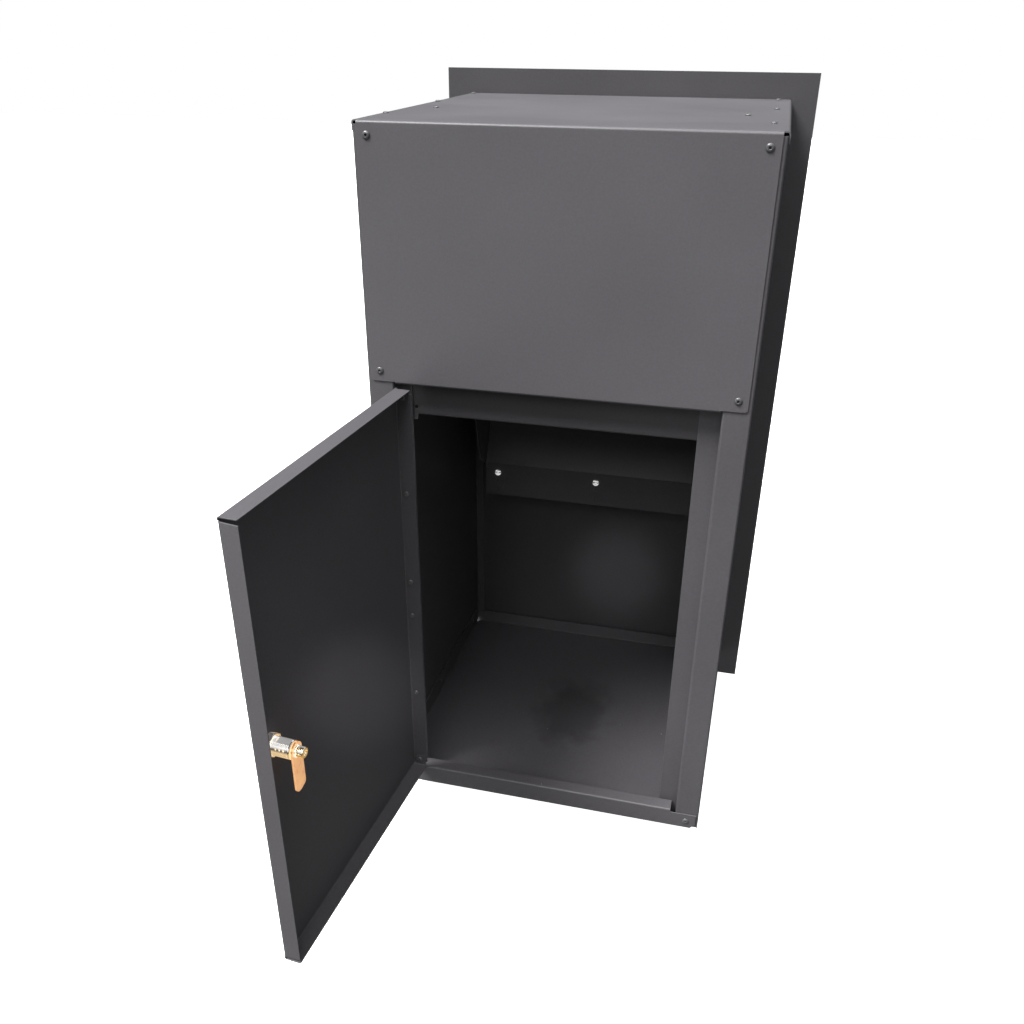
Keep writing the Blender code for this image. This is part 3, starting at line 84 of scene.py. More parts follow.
# ------------------------------------------------------------------ node materials
class Graph:
    """A small helper that adds shader nodes and wires them as it goes."""

    def __init__(self, name):
        self.material = bpy.data.materials.new(name)
        self.material.use_nodes = True
        self.tree = self.material.node_tree
        self.shader = self.tree.nodes["Principled BSDF"]
        coordinates = self.tree.nodes.new("ShaderNodeTexCoord")
        self.place = coordinates.outputs["Object"]

    def wire(self, source, socket):
        if hasattr(source, "is_output"):
            self.tree.links.new(source, socket)
        else:
            socket.default_value = source

    def scaled(self, scale, rotation=(0.0, 0.0, 0.0)):
        node = self.tree.nodes.new("ShaderNodeMapping")
        node.inputs["Scale"].default_value = scale
        node.inputs["Rotation"].default_value = rotation
        self.tree.links.new(self.place, node.inputs["Vector"])
        return node.outputs["Vector"]

    def noise(self, scale, detail=2.0, rough=0.5, distort=0.0, at=None):
        node = self.tree.nodes.new("ShaderNodeTexNoise")
        node.inputs["Scale"].default_value = scale
        node.inputs["Detail"].default_value = detail
        node.inputs["Roughness"].default_value = rough
        node.inputs["Distortion"].default_value = distort
        self.tree.links.new(at or self.place, node.inputs["Vector"])
        return node.outputs["Fac"]

    def specks(self, scale, radius):
        """One inside a small ball round each Voronoi point, zero outside."""
        node = self.tree.nodes.new("ShaderNodeTexVoronoi")
        node.inputs["Scale"].default_value = scale
        self.tree.links.new(self.place, node.inputs["Vector"])
        return self.ramp(node.outputs["Distance"], radius, radius * 0.6, 0.0, 1.0)

    def ramp(self, source, low, high, out_low=0.0, out_high=1.0):
        node = self.tree.nodes.new("ShaderNodeMapRange")
        self.wire(source, node.inputs["Value"])
        limits = {"From Min": low, "From Max": high, "To Min": out_low, "To Max": out_high}
        for socket, value in limits.items():
            self.wire(value, node.inputs[socket])
        return node.outputs["Result"]

    def maths(self, operation, a, b=0.0):
        node = self.tree.nodes.new("ShaderNodeMath")
        node.operation = operation
        self.wire(a, node.inputs[0])
        self.wire(b, node.inputs[1])
        return node.outputs[0]

    def mix(self, factor, a, b, blend="MIX"):
        node = self.tree.nodes.new("ShaderNodeMix")
        node.data_type = "RGBA"
        node.blend_type = blend
        self.wire(factor, node.inputs["Factor"])
        self.wire(colour4(a), node.inputs["A"])
        self.wire(colour4(b), node.inputs["B"])
        return node.outputs["Result"]

    def shade(self, colour, factor):
        """Colour times a grey factor."""
        grey = self.tree.nodes.new("ShaderNodeCombineColor")
        for channel in ("Red", "Green", "Blue"):
            self.wire(factor, grey.inputs[channel])
        return self.mix(1.0, colour, grey.outputs["Color"], "MULTIPLY")

    def bump(self, height, strength, distance):
        node = self.tree.nodes.new("ShaderNodeBump")
        node.inputs["Strength"].default_value = strength
        node.inputs["Distance"].default_value = distance
        self.wire(height, node.inputs["Height"])
        self.tree.links.new(node.outputs["Normal"], self.shader.inputs["Normal"])

    def edge(self, radius):
        """Near one on an outside or inside corner, zero on a flat face."""
        bevel = self.tree.nodes.new("ShaderNodeBevel")
        bevel.samples = 4
        bevel.inputs["Radius"].default_value = radius
        true = self.tree.nodes.new("ShaderNodeNewGeometry")
        dot = self.tree.nodes.new("ShaderNodeVectorMath")
        dot.operation = "DOT_PRODUCT"
        self.tree.links.new(bevel.outputs["Normal"], dot.inputs[0])
        self.tree.links.new(true.outputs["Normal"], dot.inputs[1])
        return self.ramp(dot.outputs["Value"], 0.99, 0.80, 0.0, 1.0)

    def facing_up(self):
        true = self.tree.nodes.new("ShaderNodeNewGeometry")
        split = self.tree.nodes.new("ShaderNodeSeparateXYZ")
        self.tree.links.new(true.outputs["Normal"], split.inputs[0])
        return self.ramp(split.outputs["Z"], 0.7, 0.95, 0.0, 1.0)

    def mirrored_height(self):
        """How far up the mirrored direction points, from minus one to one."""
        coordinates = self.tree.nodes.new("ShaderNodeTexCoord")
        split = self.tree.nodes.new("ShaderNodeSeparateXYZ")
        self.tree.links.new(coordinates.outputs["Reflection"], split.inputs[0])
        return split.outputs["Z"]

    def near(self, point, radii, soft=0.5):
        """One near a point, falling to zero at the ellipsoid with the given radii."""
        node = self.tree.nodes.new("ShaderNodeMapping")
        node.vector_type = "POINT"
        node.inputs["Location"].default_value = [-p / r for p, r in zip(point, radii)]
        node.inputs["Scale"].default_value = [1.0 / r for r in radii]
        self.tree.links.new(self.place, node.inputs["Vector"])
        length = self.tree.nodes.new("ShaderNodeVectorMath")
        length.operation = "LENGTH"
        self.tree.links.new(node.outputs["Vector"], length.inputs[0])
        raggedness = self.ramp(self.noise(26.0, 4.0), 0.2, 0.8, -0.35, 0.35)
        ragged = self.maths("ADD", length.outputs["Value"], raggedness)
        return self.ramp(ragged, 1.0, 1.0 - soft, 0.0, 1.0)

    def set(self, name, source):
        self.wire(source, self.shader.inputs[name])


def colour4(value):
    return (*value, 1.0) if isinstance(value, tuple) and len(value) == 3 else value


CHARCOAL = (0.091, 0.087, 0.094)
SMEAR_COLOUR = (0.27, 0.27, 0.29)
SPECK_COLOUR = (0.42, 0.41, 0.39)
# Colour of the painted highlight laid along edges and folds.
EDGE_HIGHLIGHT_COLOUR = (0.25, 0.25, 0.26)
# Colours of studio light panels, painted onto bright metal as a reflection by emission.
WHITE_BOX = (1.0, 0.99, 0.97)
WARM_BOX = (0.95, 0.66, 0.34)
PEACH_BOX = (1.0, 0.52, 0.24)
BRASS_BOX = (0.95, 0.55, 0.16)


def powder_coat(name, smears=0.0, smudge=None, specks=0.0, level=1.0):
    """Satin powder coat: orange-peel grain, cloudy gloss, painted highlight lines on corners and folds,
    optional smears on top faces.
    """
    g = Graph(name)
    # Painted light and shade: a level above one gives a lit copy of the coat, below one a shaded copy.
    base = tuple(level * c for c in CHARCOAL)
    grain = g.noise(430.0, 3.0, 0.62)
    pores = g.noise(1500.0, 2.0, 0.5)
    cloud = g.noise(6.0, 4.0, 0.55)
    colour = g.shade(base, g.ramp(grain, 0.25, 0.75, 0.90, 1.10))
    colour = g.shade(colour, g.ramp(cloud, 0.3, 0.7, 0.95, 1.05))
    rough = g.ramp(cloud, 0.3, 0.7, 0.40, 0.47)
    if smears:
        across = g.scaled((4.0, 17.0, 7.0), (0.0, 0.0, radians(-24.0)))
        streak = g.ramp(g.noise(1.0, 6.0, 0.66, 0.7, across), 0.44, 0.76, 0.0, smears)
        streak = g.maths("MULTIPLY", streak, g.facing_up())
        colour = g.mix(streak, colour, SMEAR_COLOUR)
        rough = g.maths("ADD", rough, g.maths("MULTIPLY", streak, 0.35))
    if smudge:
        patch = g.near(*smudge)
        colour = g.shade(colour, g.ramp(patch, 0.0, 1.0, 1.0, 0.66))
        rough = g.maths("ADD", rough, g.maths("MULTIPLY", patch, 0.12))
    if specks:
        where = g.ramp(g.noise(9.0, 2.0), 0.52, 0.6, 0.0, specks)
        dots = g.maths("MULTIPLY", g.specks(42.0, 0.045), where)
        colour = g.mix(g.maths("MULTIPLY", dots, g.facing_up()), colour, SPECK_COLOUR)
    # Painted highlight: paler lines along every outside and inside corner, where folds and sheet joints
    # catch the light, broken up by noise.
    edge_highlight = g.maths("MULTIPLY", g.edge(0.0009), g.ramp(g.noise(60.0, 4.0, 0.6), 0.35, 0.65, 0.4, 1.0))
    colour = g.mix(g.maths("MULTIPLY", edge_highlight, 0.50), colour, EDGE_HIGHLIGHT_COLOUR)
    g.set("Base Color", colour)
    g.set("Roughness", rough)
    g.set("Metallic", 0.0)
    g.set("Specular IOR Level", 0.5)
    height = g.maths("ADD", grain, g.maths("MULTIPLY", pores, 0.35))
    g.bump(height, 0.22, 0.00010)
    return g.material


def sprayed_metal(name, colour, rough):
    """Rivet under the sheet's coat: a little metallic and glossier than the sheet, with fine mottling."""
    g = Graph(name)
    grain = g.noise(900.0, 3.0, 0.6)
    g.set("Base Color", g.shade(colour, g.ramp(grain, 0.3, 0.7, 0.90, 1.08)))
    g.set("Metallic", 0.35)
    g.set("Roughness", g.ramp(grain, 0.3, 0.7, rough, rough + 0.07))
    g.bump(grain, 0.12, 0.00005)
    return g.material


def plated(name, colour, rough, tint=None, brushed=(700.0, 700.0, 90.0), metallic=1.0, studio=None):
    """Plated or machined metal with fine scratches; an optional emission paints in reflections of studio
    panels.
    """
    g = Graph(name)
    lines = g.noise(1.0, 3.0, 0.7, 0.0, g.scaled(brushed))
    cloud = g.noise(90.0, 3.0, 0.55)
    base = g.shade(colour, g.ramp(lines, 0.3, 0.7, 0.92, 1.06))
    if tint:
        base = g.mix(g.ramp(cloud, 0.35, 0.65, 0.0, 0.7), base, tint)
    g.set("Base Color", base)
    g.set("Metallic", metallic)
    patchy = g.ramp(cloud, 0.3, 0.7, rough, rough + 0.08)
    g.set("Roughness", g.maths("ADD", patchy, g.ramp(lines, 0.3, 0.7, -0.03, 0.03)))
    # Painted reflection: emission in bands, the upper colour where the mirrored direction points up, the
    # lower colour where it points down.
    if studio:
        upper, lower, strength = studio
        height = g.mirrored_height()
        glow = g.mix(g.ramp(height, -0.35, 0.05), lower, upper)
        rising = g.ramp(height, -0.05, 0.20, 0.06, 1.0)
        falling = g.ramp(height, 0.45, 0.70, 1.0, 0.08)
        band = g.maths("ADD", g.maths("MULTIPLY", rising, falling), g.ramp(height, -0.25, -0.6, 0.0, 0.75))
        g.set("Emission Color", g.shade(glow, g.ramp(cloud, 0.3, 0.7, 0.9, 1.1)))
        g.set("Emission Strength", g.maths("MULTIPLY", band, strength))
    g.bump(lines, 0.10, 0.00004)
    return g.material


def rubber(name):
    g = Graph(name)
    grain = g.noise(900.0, 2.0)
    g.set("Base Color", g.shade((0.022, 0.022, 0.023), g.ramp(grain, 0.3, 0.7, 0.8, 1.25)))
    g.set("Roughness", g.ramp(grain, 0.3, 0.7, 0.62, 0.8))
    g.bump(grain, 0.3, 0.0001)
    return g.material


FLOOR_GLOW = 1.0


def paper_white(name):
    """White studio floor: bright enough to swallow the object's shadow, with the faintest mottling."""
    g = Graph(name)
    g.set("Base Color", g.shade((0.93, 0.93, 0.93), g.ramp(g.noise(3.0, 4.0), 0.3, 0.7, 0.985, 1.0)))
    g.set("Roughness", 0.85)
    g.set("Specular IOR Level", 0.2)
    g.set("Emission Color", (1.0, 1.0, 1.0, 1.0))
    g.set("Emission Strength", FLOOR_GLOW)
    return g.material


# ------------------------------------------------------------------ mesh helpers
def object_from(bm, name, material=None, smooth=True):
    mesh = bpy.data.meshes.new(name)
    for face in bm.faces:
        face.smooth = smooth
    bm.to_mesh(mesh)
    bm.free()
    obj = bpy.data.objects.new(name, mesh)
    bpy.context.scene.collection.objects.link(obj)
    if material:
        mesh.materials.append(material)
    return obj


def circle(bm, radius, height, sides):
    """Evenly spaced corners of a circle about +Z."""
    turns = [2.0 * pi * i / sides for i in range(sides)]
    return [bm.verts.new((radius * cos(turn), radius * sin(turn), height)) for turn in turns]


def band(bm, lower, upper):
    """Closed band of four-sided faces between two rows with as many corners each."""
    for i in range(len(lower)):
        j = (i + 1) % len(lower)
        bm.faces.new((lower[i], lower[j], upper[j], upper[i]))


def revolve(profile, sides=48):
    """Closed solid of revolution about +Z from (radius, height) pairs that start and end at radius zero."""
    bm = bmesh.new()
    rows = []
    for radius, height in profile:
        if radius == 0.0:
            rows.append([bm.verts.new((0.0, 0.0, height))])
        else:
            rows.append(circle(bm, radius, height, sides))
    for lower, upper in zip(rows, rows[1:]):
        if len(lower) == len(upper):
            band(bm, lower, upper)
            continue
        for i in range(sides):
            j = (i + 1) % sides
            if len(lower) == 1:
                bm.faces.new((lower[0], upper[i], upper[j]))
            else:
                bm.faces.new((lower[i], lower[j], upper[0]))
    bmesh.ops.recalc_face_normals(bm, faces=bm.faces)
    return bm


def revolve_ring(section, sides):
    """Closed ring about +Z from a closed loop of (radius, height) pairs."""
    bm = bmesh.new()
    rows = [circle(bm, radius, height, sides) for radius, height in section]
    for lower, upper in zip(rows, rows[1:] + rows[:1]):
        band(bm, lower, upper)
    bmesh.ops.recalc_face_normals(bm, faces=bm.faces)
    return bm


def prism(outline, start, end):
    """Closed prism along +Z from a closed outline of (x, y) pairs."""
    bm = bmesh.new()
    rows = [[bm.verts.new((x, y, z)) for x, y in outline] for z in (start, end)]
    bm.faces.new(rows[0])
    bm.faces.new(rows[1])
    band(bm, *rows)
    bmesh.ops.recalc_face_normals(bm, faces=bm.faces)
    return bm


def seat_matrix(base, axis, across):
    """Local +Z along axis, local +X along across, millimetres to metres, placed at base."""
    z = Vector(axis).normalized()
    x = (Vector(across) - z * Vector(across).dot(z)).normalized()
    y = z.cross(x)
    turn = Matrix((x, y, z)).transposed().to_4x4()
    return Matrix.Translation(base) @ turn @ Matrix.Scale(MM, 4)


def extent(node, axis):
    """Lowest and highest reach of a CAD node along a direction, in metres."""
    reach = [v.co.dot(axis) for v in NODES[node].data.vertices]
    return min(reach), max(reach)


def centre_line(node, axis):
    """Point on the axis of a round CAD node at its lowest end along that axis."""
    axis = axis.normalized()
    side = axis.orthogonal().normalized()
    other = axis.cross(side)
    point = axis * extent(node, axis)[0]
    for direction in (side, other):
        low, high = extent(node, direction)
        point = point + direction * (low + high) / 2.0
    return point


def cut(obj, cutters, operation="DIFFERENCE"):
    """EXACT boolean with each cutter, baked in; the cutters are removed."""
    for cutter in cutters:
        step = obj.modifiers.new("cut", "BOOLEAN")
        step.operation = operation
        step.solver = "EXACT"
        step.object = cutter
        bpy.context.view_layer.update()
        graph = bpy.context.evaluated_depsgraph_get()
        mesh = bpy.data.meshes.new_from_object(obj.evaluated_get(graph))
        old = obj.data
        obj.modifiers.clear()
        obj.data = mesh
        bpy.data.meshes.remove(old)
        bpy.data.objects.remove(cutter, do_unlink=True)
    return obj


def soften(obj, width, segments=2, angle=35.0):
    """Rounds the sharp corners with shading that stays flat on flat faces."""
    bevel = obj.modifiers.new("corner", "BEVEL")
    bevel.width = width
    bevel.segments = segments
    bevel.limit_method = "ANGLE"
    bevel.angle_limit = radians(angle)
    bevel.use_clamp_overlap = True
    weighted = obj.modifiers.new("normals", "WEIGHTED_NORMAL")
    weighted.keep_sharp = False
    weighted.weight = 100
    return obj


def place(obj, node, body):
    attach(obj, body)
    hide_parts(node)
    return obj


# ------------------------------------------------------------------ sheet pieces carried over from the CAD
def smooth_group():
    """Node group that marks every face smooth, so folds read as rolled and not as facets."""
    group = bpy.data.node_groups.new("mark_smooth", "GeometryNodeTree")
    group.interface.new_socket("Geometry", in_out="INPUT", socket_type="NodeSocketGeometry")
    group.interface.new_socket("Geometry", in_out="OUTPUT", socket_type="NodeSocketGeometry")
    start = group.nodes.new("NodeGroupInput")
    smooth = group.nodes.new("GeometryNodeSetShadeSmooth")
    end = group.nodes.new("NodeGroupOutput")
    group.links.new(start.outputs[0], smooth.inputs[0])
    group.links.new(smooth.outputs[0], end.inputs[0])
    return group


MARK_SMOOTH = smooth_group()


def dress(node, material, width=0.35, angle=50.0):
    """CAD node keeps its mesh and gets welded corners, rounded sheet edges and its material."""
    obj = NODES[node]
    weld = obj.modifiers.new("weld", "WELD")
    weld.merge_threshold = 1e-6
    flat = obj.modifiers.new("flat", "DECIMATE")
    flat.decimate_type = "DISSOLVE"
    flat.angle_limit = radians(1.0)
    mark = obj.modifiers.new("smooth", "NODES")
    mark.node_group = MARK_SMOOTH
    soften(obj, width * MM, 2, angle)
    obj.data.materials.clear()
    obj.data.materials.append(material)
    return obj


# ------------------------------------------------------------------ rivets and screws
# Millimetres: head radius, shank radius, head height and tail radius.
BIG_RIVET = (4.0, 2.0, 1.5, 2.9)
SMALL_RIVET = (3.2, 1.6, 1.2, 2.3)
RIVET_RIM = 0.25
RIVET_DOME_STEPS = 9


def rivet_profile(head, shank, rise, length, tail):
    """Blind rivet with a domed flange, the open mandrel hole in its middle, and an upset tail."""
    hole = 0.30 * head
    top = length
    under = length - rise
    dome = []
    for i in range(RIVET_DOME_STEPS + 1):
        share = i / RIVET_DOME_STEPS
        radius = head * (1.0 - share) + hole * 1.30 * share
        height = under + RIVET_RIM + (rise - RIVET_RIM) * sin(0.5 * pi * share) ** 0.75
        dome.append((radius, height))
    bulb = tail * 0.98
    depth = top - rise * 1.9
    return [
        (0.0, 0.0),
        (hole, 0.05),
        (bulb * 0.8, 0.12),
        (bulb, 0.7),
        (bulb, 1.35),
        (shank, 2.0),
        (shank, under),
        (head * 0.985, under),
        *dome,
        (hole * 1.05, top - 0.12),
        (hole, top - 0.40),
        (hole * 0.98, depth),
        (hole * 0.5, depth + 0.2),
        (0.0, depth + 0.25),
    ]


def rivet(node, axis, size, body, material):
    head, shank, rise, tail = size
    low, high = extent(node, axis)
    length = (high - low) / MM
    profile = rivet_profile(head, shank, rise, length, tail)
    obj = object_from(revolve(profile, 36), node + "_formed", material)
    obj.data.transform(seat_matrix(centre_line(node, axis), axis, axis.orthogonal()))
    return place(obj, node, body)


def all_rivets():
    panel_coat = sprayed_metal("rivet_panel_coat", (0.115, 0.113, 0.12), 0.33)
    pale_coat = sprayed_metal("rivet_pale_coat", (0.16, 0.16, 0.165), 0.26)
    for node in list(NODES):
        if "rivet" not in node:
            continue
        if node.startswith("cover_rivet"):
            rivet(node, -Y_AXIS, BIG_RIVET, "body", panel_coat)
        elif node.startswith("sill_rivet"):
            rivet(node, -Y_AXIS, BIG_RIVET, "body", pale_coat)
        elif node.startswith(("top_rivet", "guide_rivet")):
            rivet(node, Z_AXIS, SMALL_RIVET, "body", pale_coat)
        elif node.startswith("tray_rivet"):
            side = X_AXIS if node.endswith("right") else -X_AXIS
            rivet(node, side, SMALL_RIVET, "body", pale_coat)
        else:
            rivet(node, DOOR_ACROSS, SMALL_RIVET, "rear_door", pale_coat)


RECESS_TURN = radians(20.0)
RECESS_TAPER = 0.45


def cross_recess(width, depth, top, reach):
    """Two crossed tapering blades that cut a drive recess into a head at height top."""
    blades = []
    for turn in (0.0, 0.5 * pi):
        bm = bmesh.new()
        foot = reach * RECESS_TAPER
        outline = ((-reach, top + 0.5), (reach, top + 0.5), (foot, top - depth), (-foot, top - depth))
        rows = [[bm.verts.new((x, y, z)) for x, z in outline] for y in (-0.5 * width, 0.5 * width)]
        bm.faces.new(rows[0])
        bm.faces.new(rows[1])
        band(bm, *rows)
        bmesh.ops.recalc_face_normals(bm, faces=bm.faces)
        bmesh.ops.rotate(bm, matrix=Matrix.Rotation(turn + RECESS_TURN, 3, "Z"), verts=bm.verts)
        blades.append(object_from(bm, "blade", smooth=False))
    return blades


# Millimetres: the chute's pan-head screws and the nuts behind them.
CHUTE_SCREW_R = 2.25
CHUTE_SCREW_HEAD_R = 4.4
CHUTE_SCREW_HEAD_HIGH = 2.3
CHUTE_NUT_R = 4.2
CHUTE_NUT_FROM = 3.5
CHUTE_NUT_TO = 6.6


def chute_screws():
    """Bright pan-head screws with a cross recess and a round nut behind the support."""
    # Painted reflection: the zinc gets a white emission standing in for mirrored studio panels.
    zinc = plated("bright_zinc", (0.80, 0.81, 0.83), 0.16, studio=(WHITE_BOX, WHITE_BOX, 0.80))
    for side in ("left", "mid", "right"):
        node = "chute_screw_" + side
        axis = -Y_AXIS
        low, high = extent(node, axis)
        length = (high - low) / MM
        head_under = length - CHUTE_SCREW_HEAD_HIGH
        dome = []
        for i in range(6):
            turn = 0.5 * pi * i / 6.0
            height = head_under + 0.2 + (CHUTE_SCREW_HEAD_HIGH - 0.2) * sin(turn)
            dome.append((CHUTE_SCREW_HEAD_R * cos(turn) ** 0.55, height))
        dome.append((0.0, length))
        profile = [
            (0.0, 0.0),
            (CHUTE_SCREW_R - 0.65, 0.0),
            (CHUTE_SCREW_R, 0.5),
            (CHUTE_SCREW_R, CHUTE_NUT_FROM),
            (CHUTE_NUT_R, CHUTE_NUT_FROM),
            (CHUTE_NUT_R, CHUTE_NUT_TO),
            (CHUTE_SCREW_R, CHUTE_NUT_TO),
            (CHUTE_SCREW_R, head_under),
            (CHUTE_SCREW_HEAD_R - 0.05, head_under),
            *dome,
        ]
        obj = object_from(revolve(profile, 36), node + "_turned", zinc)
        cut(obj, cross_recess(0.8, 1.2, length, 2.2))
        obj.data.transform(seat_matrix(centre_line(node, axis), axis, X_AXIS))
        soften(obj, 0.00015, 2, 40.0)
        place(obj, node, "body")


# ------------------------------------------------------------------ cam lock
# Millimetres. Heights run from the outer face of each piece into the box.
BEZEL_R = 11.2
BEZEL_DEEP = 3.4
BARREL_R = 9.25
BARREL_BORE = 6.5
FLAT_AT = 7.9
FLAT_FROM = 10.8
FLAT_SHORT = 1.8
WINDOW_FROM = (12.4, 16.4, 20.4)
WINDOW_LONG = 1.6
WINDOW_SIDE = (7.6, 12.0)
WINDOW_HIGH = (-4.2, -2.4)
NUT_FLATS = 22.0
NUT_TURN = 20.0
NUT_BORE = 9.4
NUT_FACE_R = 10.6
NUT_OUTER_R = 12.9
NUT_CHAMFER = 1.1
PLUG_R = 6.4
SPIGOT_R = 4.0
SPIGOT_LONG = 2.4
TAP_R = 2.3
TAP_DEEP = 9.1
KEYWAY_HALF = 0.8
KEYWAY_HIGH = 4.2
KEYWAY_DEEP = 10.0
WASHER_HOLE = 2.5
WASHER_R = 6.4
SCREW_R = 5.4
SCREW_HEAD_LONG = 7.2
# Cutters run this far past the piece they cut.
PAST = 2.0


def lock_place(node):
    """Seat for a lock piece: +Z into the box when the door is shut, +X across the door, +Y down."""
    return seat_matrix(centre_line(node, DOOR_IN), DOOR_IN, DOOR_ACROSS)


def lock_length(node):
    low, high = extent(node, DOOR_IN)
    return (high - low) / MM


def threads(radius, start, end, pitch=1.0, depth=0.42):
    """Profile steps of a fine ridged thread between two heights."""
    steps = []
    count = int((end - start) / pitch)
    for i in range(count):
        z = start + i * pitch
        steps.append((radius, z))
        steps.append((radius, z + 0.25 * pitch))
        steps.append((radius - depth, z + 0.55 * pitch))
        steps.append((radius - depth, z + 0.70 * pitch))
    steps.append((radius, end))
    return steps


def block(low, high):
    """Box between two opposite corners."""
    bm = bmesh.new()
    bmesh.ops.create_cube(bm, size=1.0)
    for vert in bm.verts:
        vert.co = Vector([low[i] if vert.co[i] < 0.0 else high[i] for i in range(3)])
    return object_from(bm, "block", smooth=False)


def lock_barrel(chrome):
    """Threaded zinc-die barrel: domed bezel, thread, two long flats, pin windows and a plain end collar."""
    node = "lock_barrel"
    length = lock_length(node)
    bezel, radius, bore, seat = BEZEL_R, BARREL_R, BARREL_BORE, BEZEL_DEEP
    profile = [
        (bore, 0.0),
        (bezel - 3.4, 0.0),
        (bezel - 2.2, 0.12),
        (bezel - 0.9, 0.75),
        (bezel - 0.15, 1.8),
        (bezel, 2.4),
        (bezel, seat - 0.3),
        (radius, seat - 0.3),
        (radius, seat + 1.0),
        *threads(radius, seat + 1.0, length - 2.3),
        (radius - 0.35, length - 2.1),
        (radius - 0.35, length - 1.9),
        (radius, length - 1.7),
        (radius, length - 0.5),
        (radius - 0.6, length),
        (bore, length),
    ]
    obj = object_from(revolve_ring(profile, 72), "lock_barrel_threaded", chrome)
    clear = 14.0
    flat_from, flat_to = seat + FLAT_FROM, length - FLAT_SHORT
    flats = [
        block((-clear, FLAT_AT, flat_from), (clear, clear, flat_to)),
        block((-clear, -clear, flat_from), (clear, -FLAT_AT, flat_to)),
    ]
    windows = []
    inner, outer = WINDOW_SIDE
    top, bottom = WINDOW_HIGH
    for start in WINDOW_FROM:
        z = seat + start
        windows.append(block((inner, top, z), (outer, bottom, z + WINDOW_LONG)))
        windows.append(block((-outer, top, z), (-inner, bottom, z + WINDOW_LONG)))
    cut(obj, flats + windows)
    obj.data.transform(lock_place(node))
    soften(obj, 0.00012, 2, 40.0)
    return place(obj, node, "rear_door")


def lock_nut(chrome):
    """Hexagon nut with chamfered corners on both faces."""
    node = "lock_nut"
    thick = lock_length(node)
    corner = NUT_FLATS / 3.0 ** 0.5
    turns = [radians(NUT_TURN) + pi * i / 3.0 for i in range(6)]
    outline = [(corner * cos(turn), corner * sin(turn)) for turn in turns]
    obj = object_from(prism(outline, 0.0, thick), "lock_nut_hex", chrome, smooth=False)
    outside = [
        (0.0, -1.0),
        (NUT_FACE_R, -1.0),
        (NUT_FACE_R, -0.001),
        (NUT_OUTER_R, NUT_CHAMFER),
        (NUT_OUTER_R, thick - NUT_CHAMFER),
        (NUT_FACE_R, thick + 0.001),
        (NUT_FACE_R, thick + 1.0),
        (0.0, thick + 1.0),
    ]
    shaper = object_from(revolve(outside, 72), "shaper", chrome)
    cut(obj, [shaper], "INTERSECT")
    bore = [(0.0, -PAST), (NUT_BORE, -PAST), (NUT_BORE, thick + PAST), (0.0, thick + PAST)]
    hole = object_from(revolve(bore, 72), "hole", chrome)
    cut(obj, [hole])
    obj.data.transform(lock_place(node))
    soften(obj, 0.0002, 2, 30.0)
    return place(obj, node, "rear_door")


def lock_plug(chrome):
    """Turning core with a flat key face, keyway, cam spigot and a tapped end."""
    node = "lock_plug"
    length = lock_length(node)
    spigot_from = length - SPIGOT_LONG
    profile = [
        (0.0, 0.0),
        (PLUG_R - 0.8, 0.0),
        (PLUG_R, 0.6),
        (PLUG_R, spigot_from - 0.4),
        (PLUG_R - 0.3, spigot_from),
        (SPIGOT_R, spigot_from),
        (SPIGOT_R, length - 0.3),
        (SPIGOT_R - 0.3, length),
        (0.0, length),
    ]
    obj = object_from(revolve(profile, 64), "lock_plug_turned", chrome)
    keyway = block((-KEYWAY_HALF, -KEYWAY_HIGH, -PAST), (KEYWAY_HALF, KEYWAY_HIGH, KEYWAY_DEEP))
    side_groove = block((-0.2, -1.6, -PAST), (1.7, -0.6, KEYWAY_DEEP))
    tap_from = length - TAP_DEEP
    tap = [(0.0, tap_from), (TAP_R, tap_from), (TAP_R, length + PAST), (0.0, length + PAST)]
    tapped = object_from(revolve(tap, 36), "tap", chrome)
    cut(obj, [keyway, side_groove, tapped])
    obj.data.transform(lock_place(node))
    soften(obj, 0.00012, 2, 40.0)
    return place(obj, node, "lock")


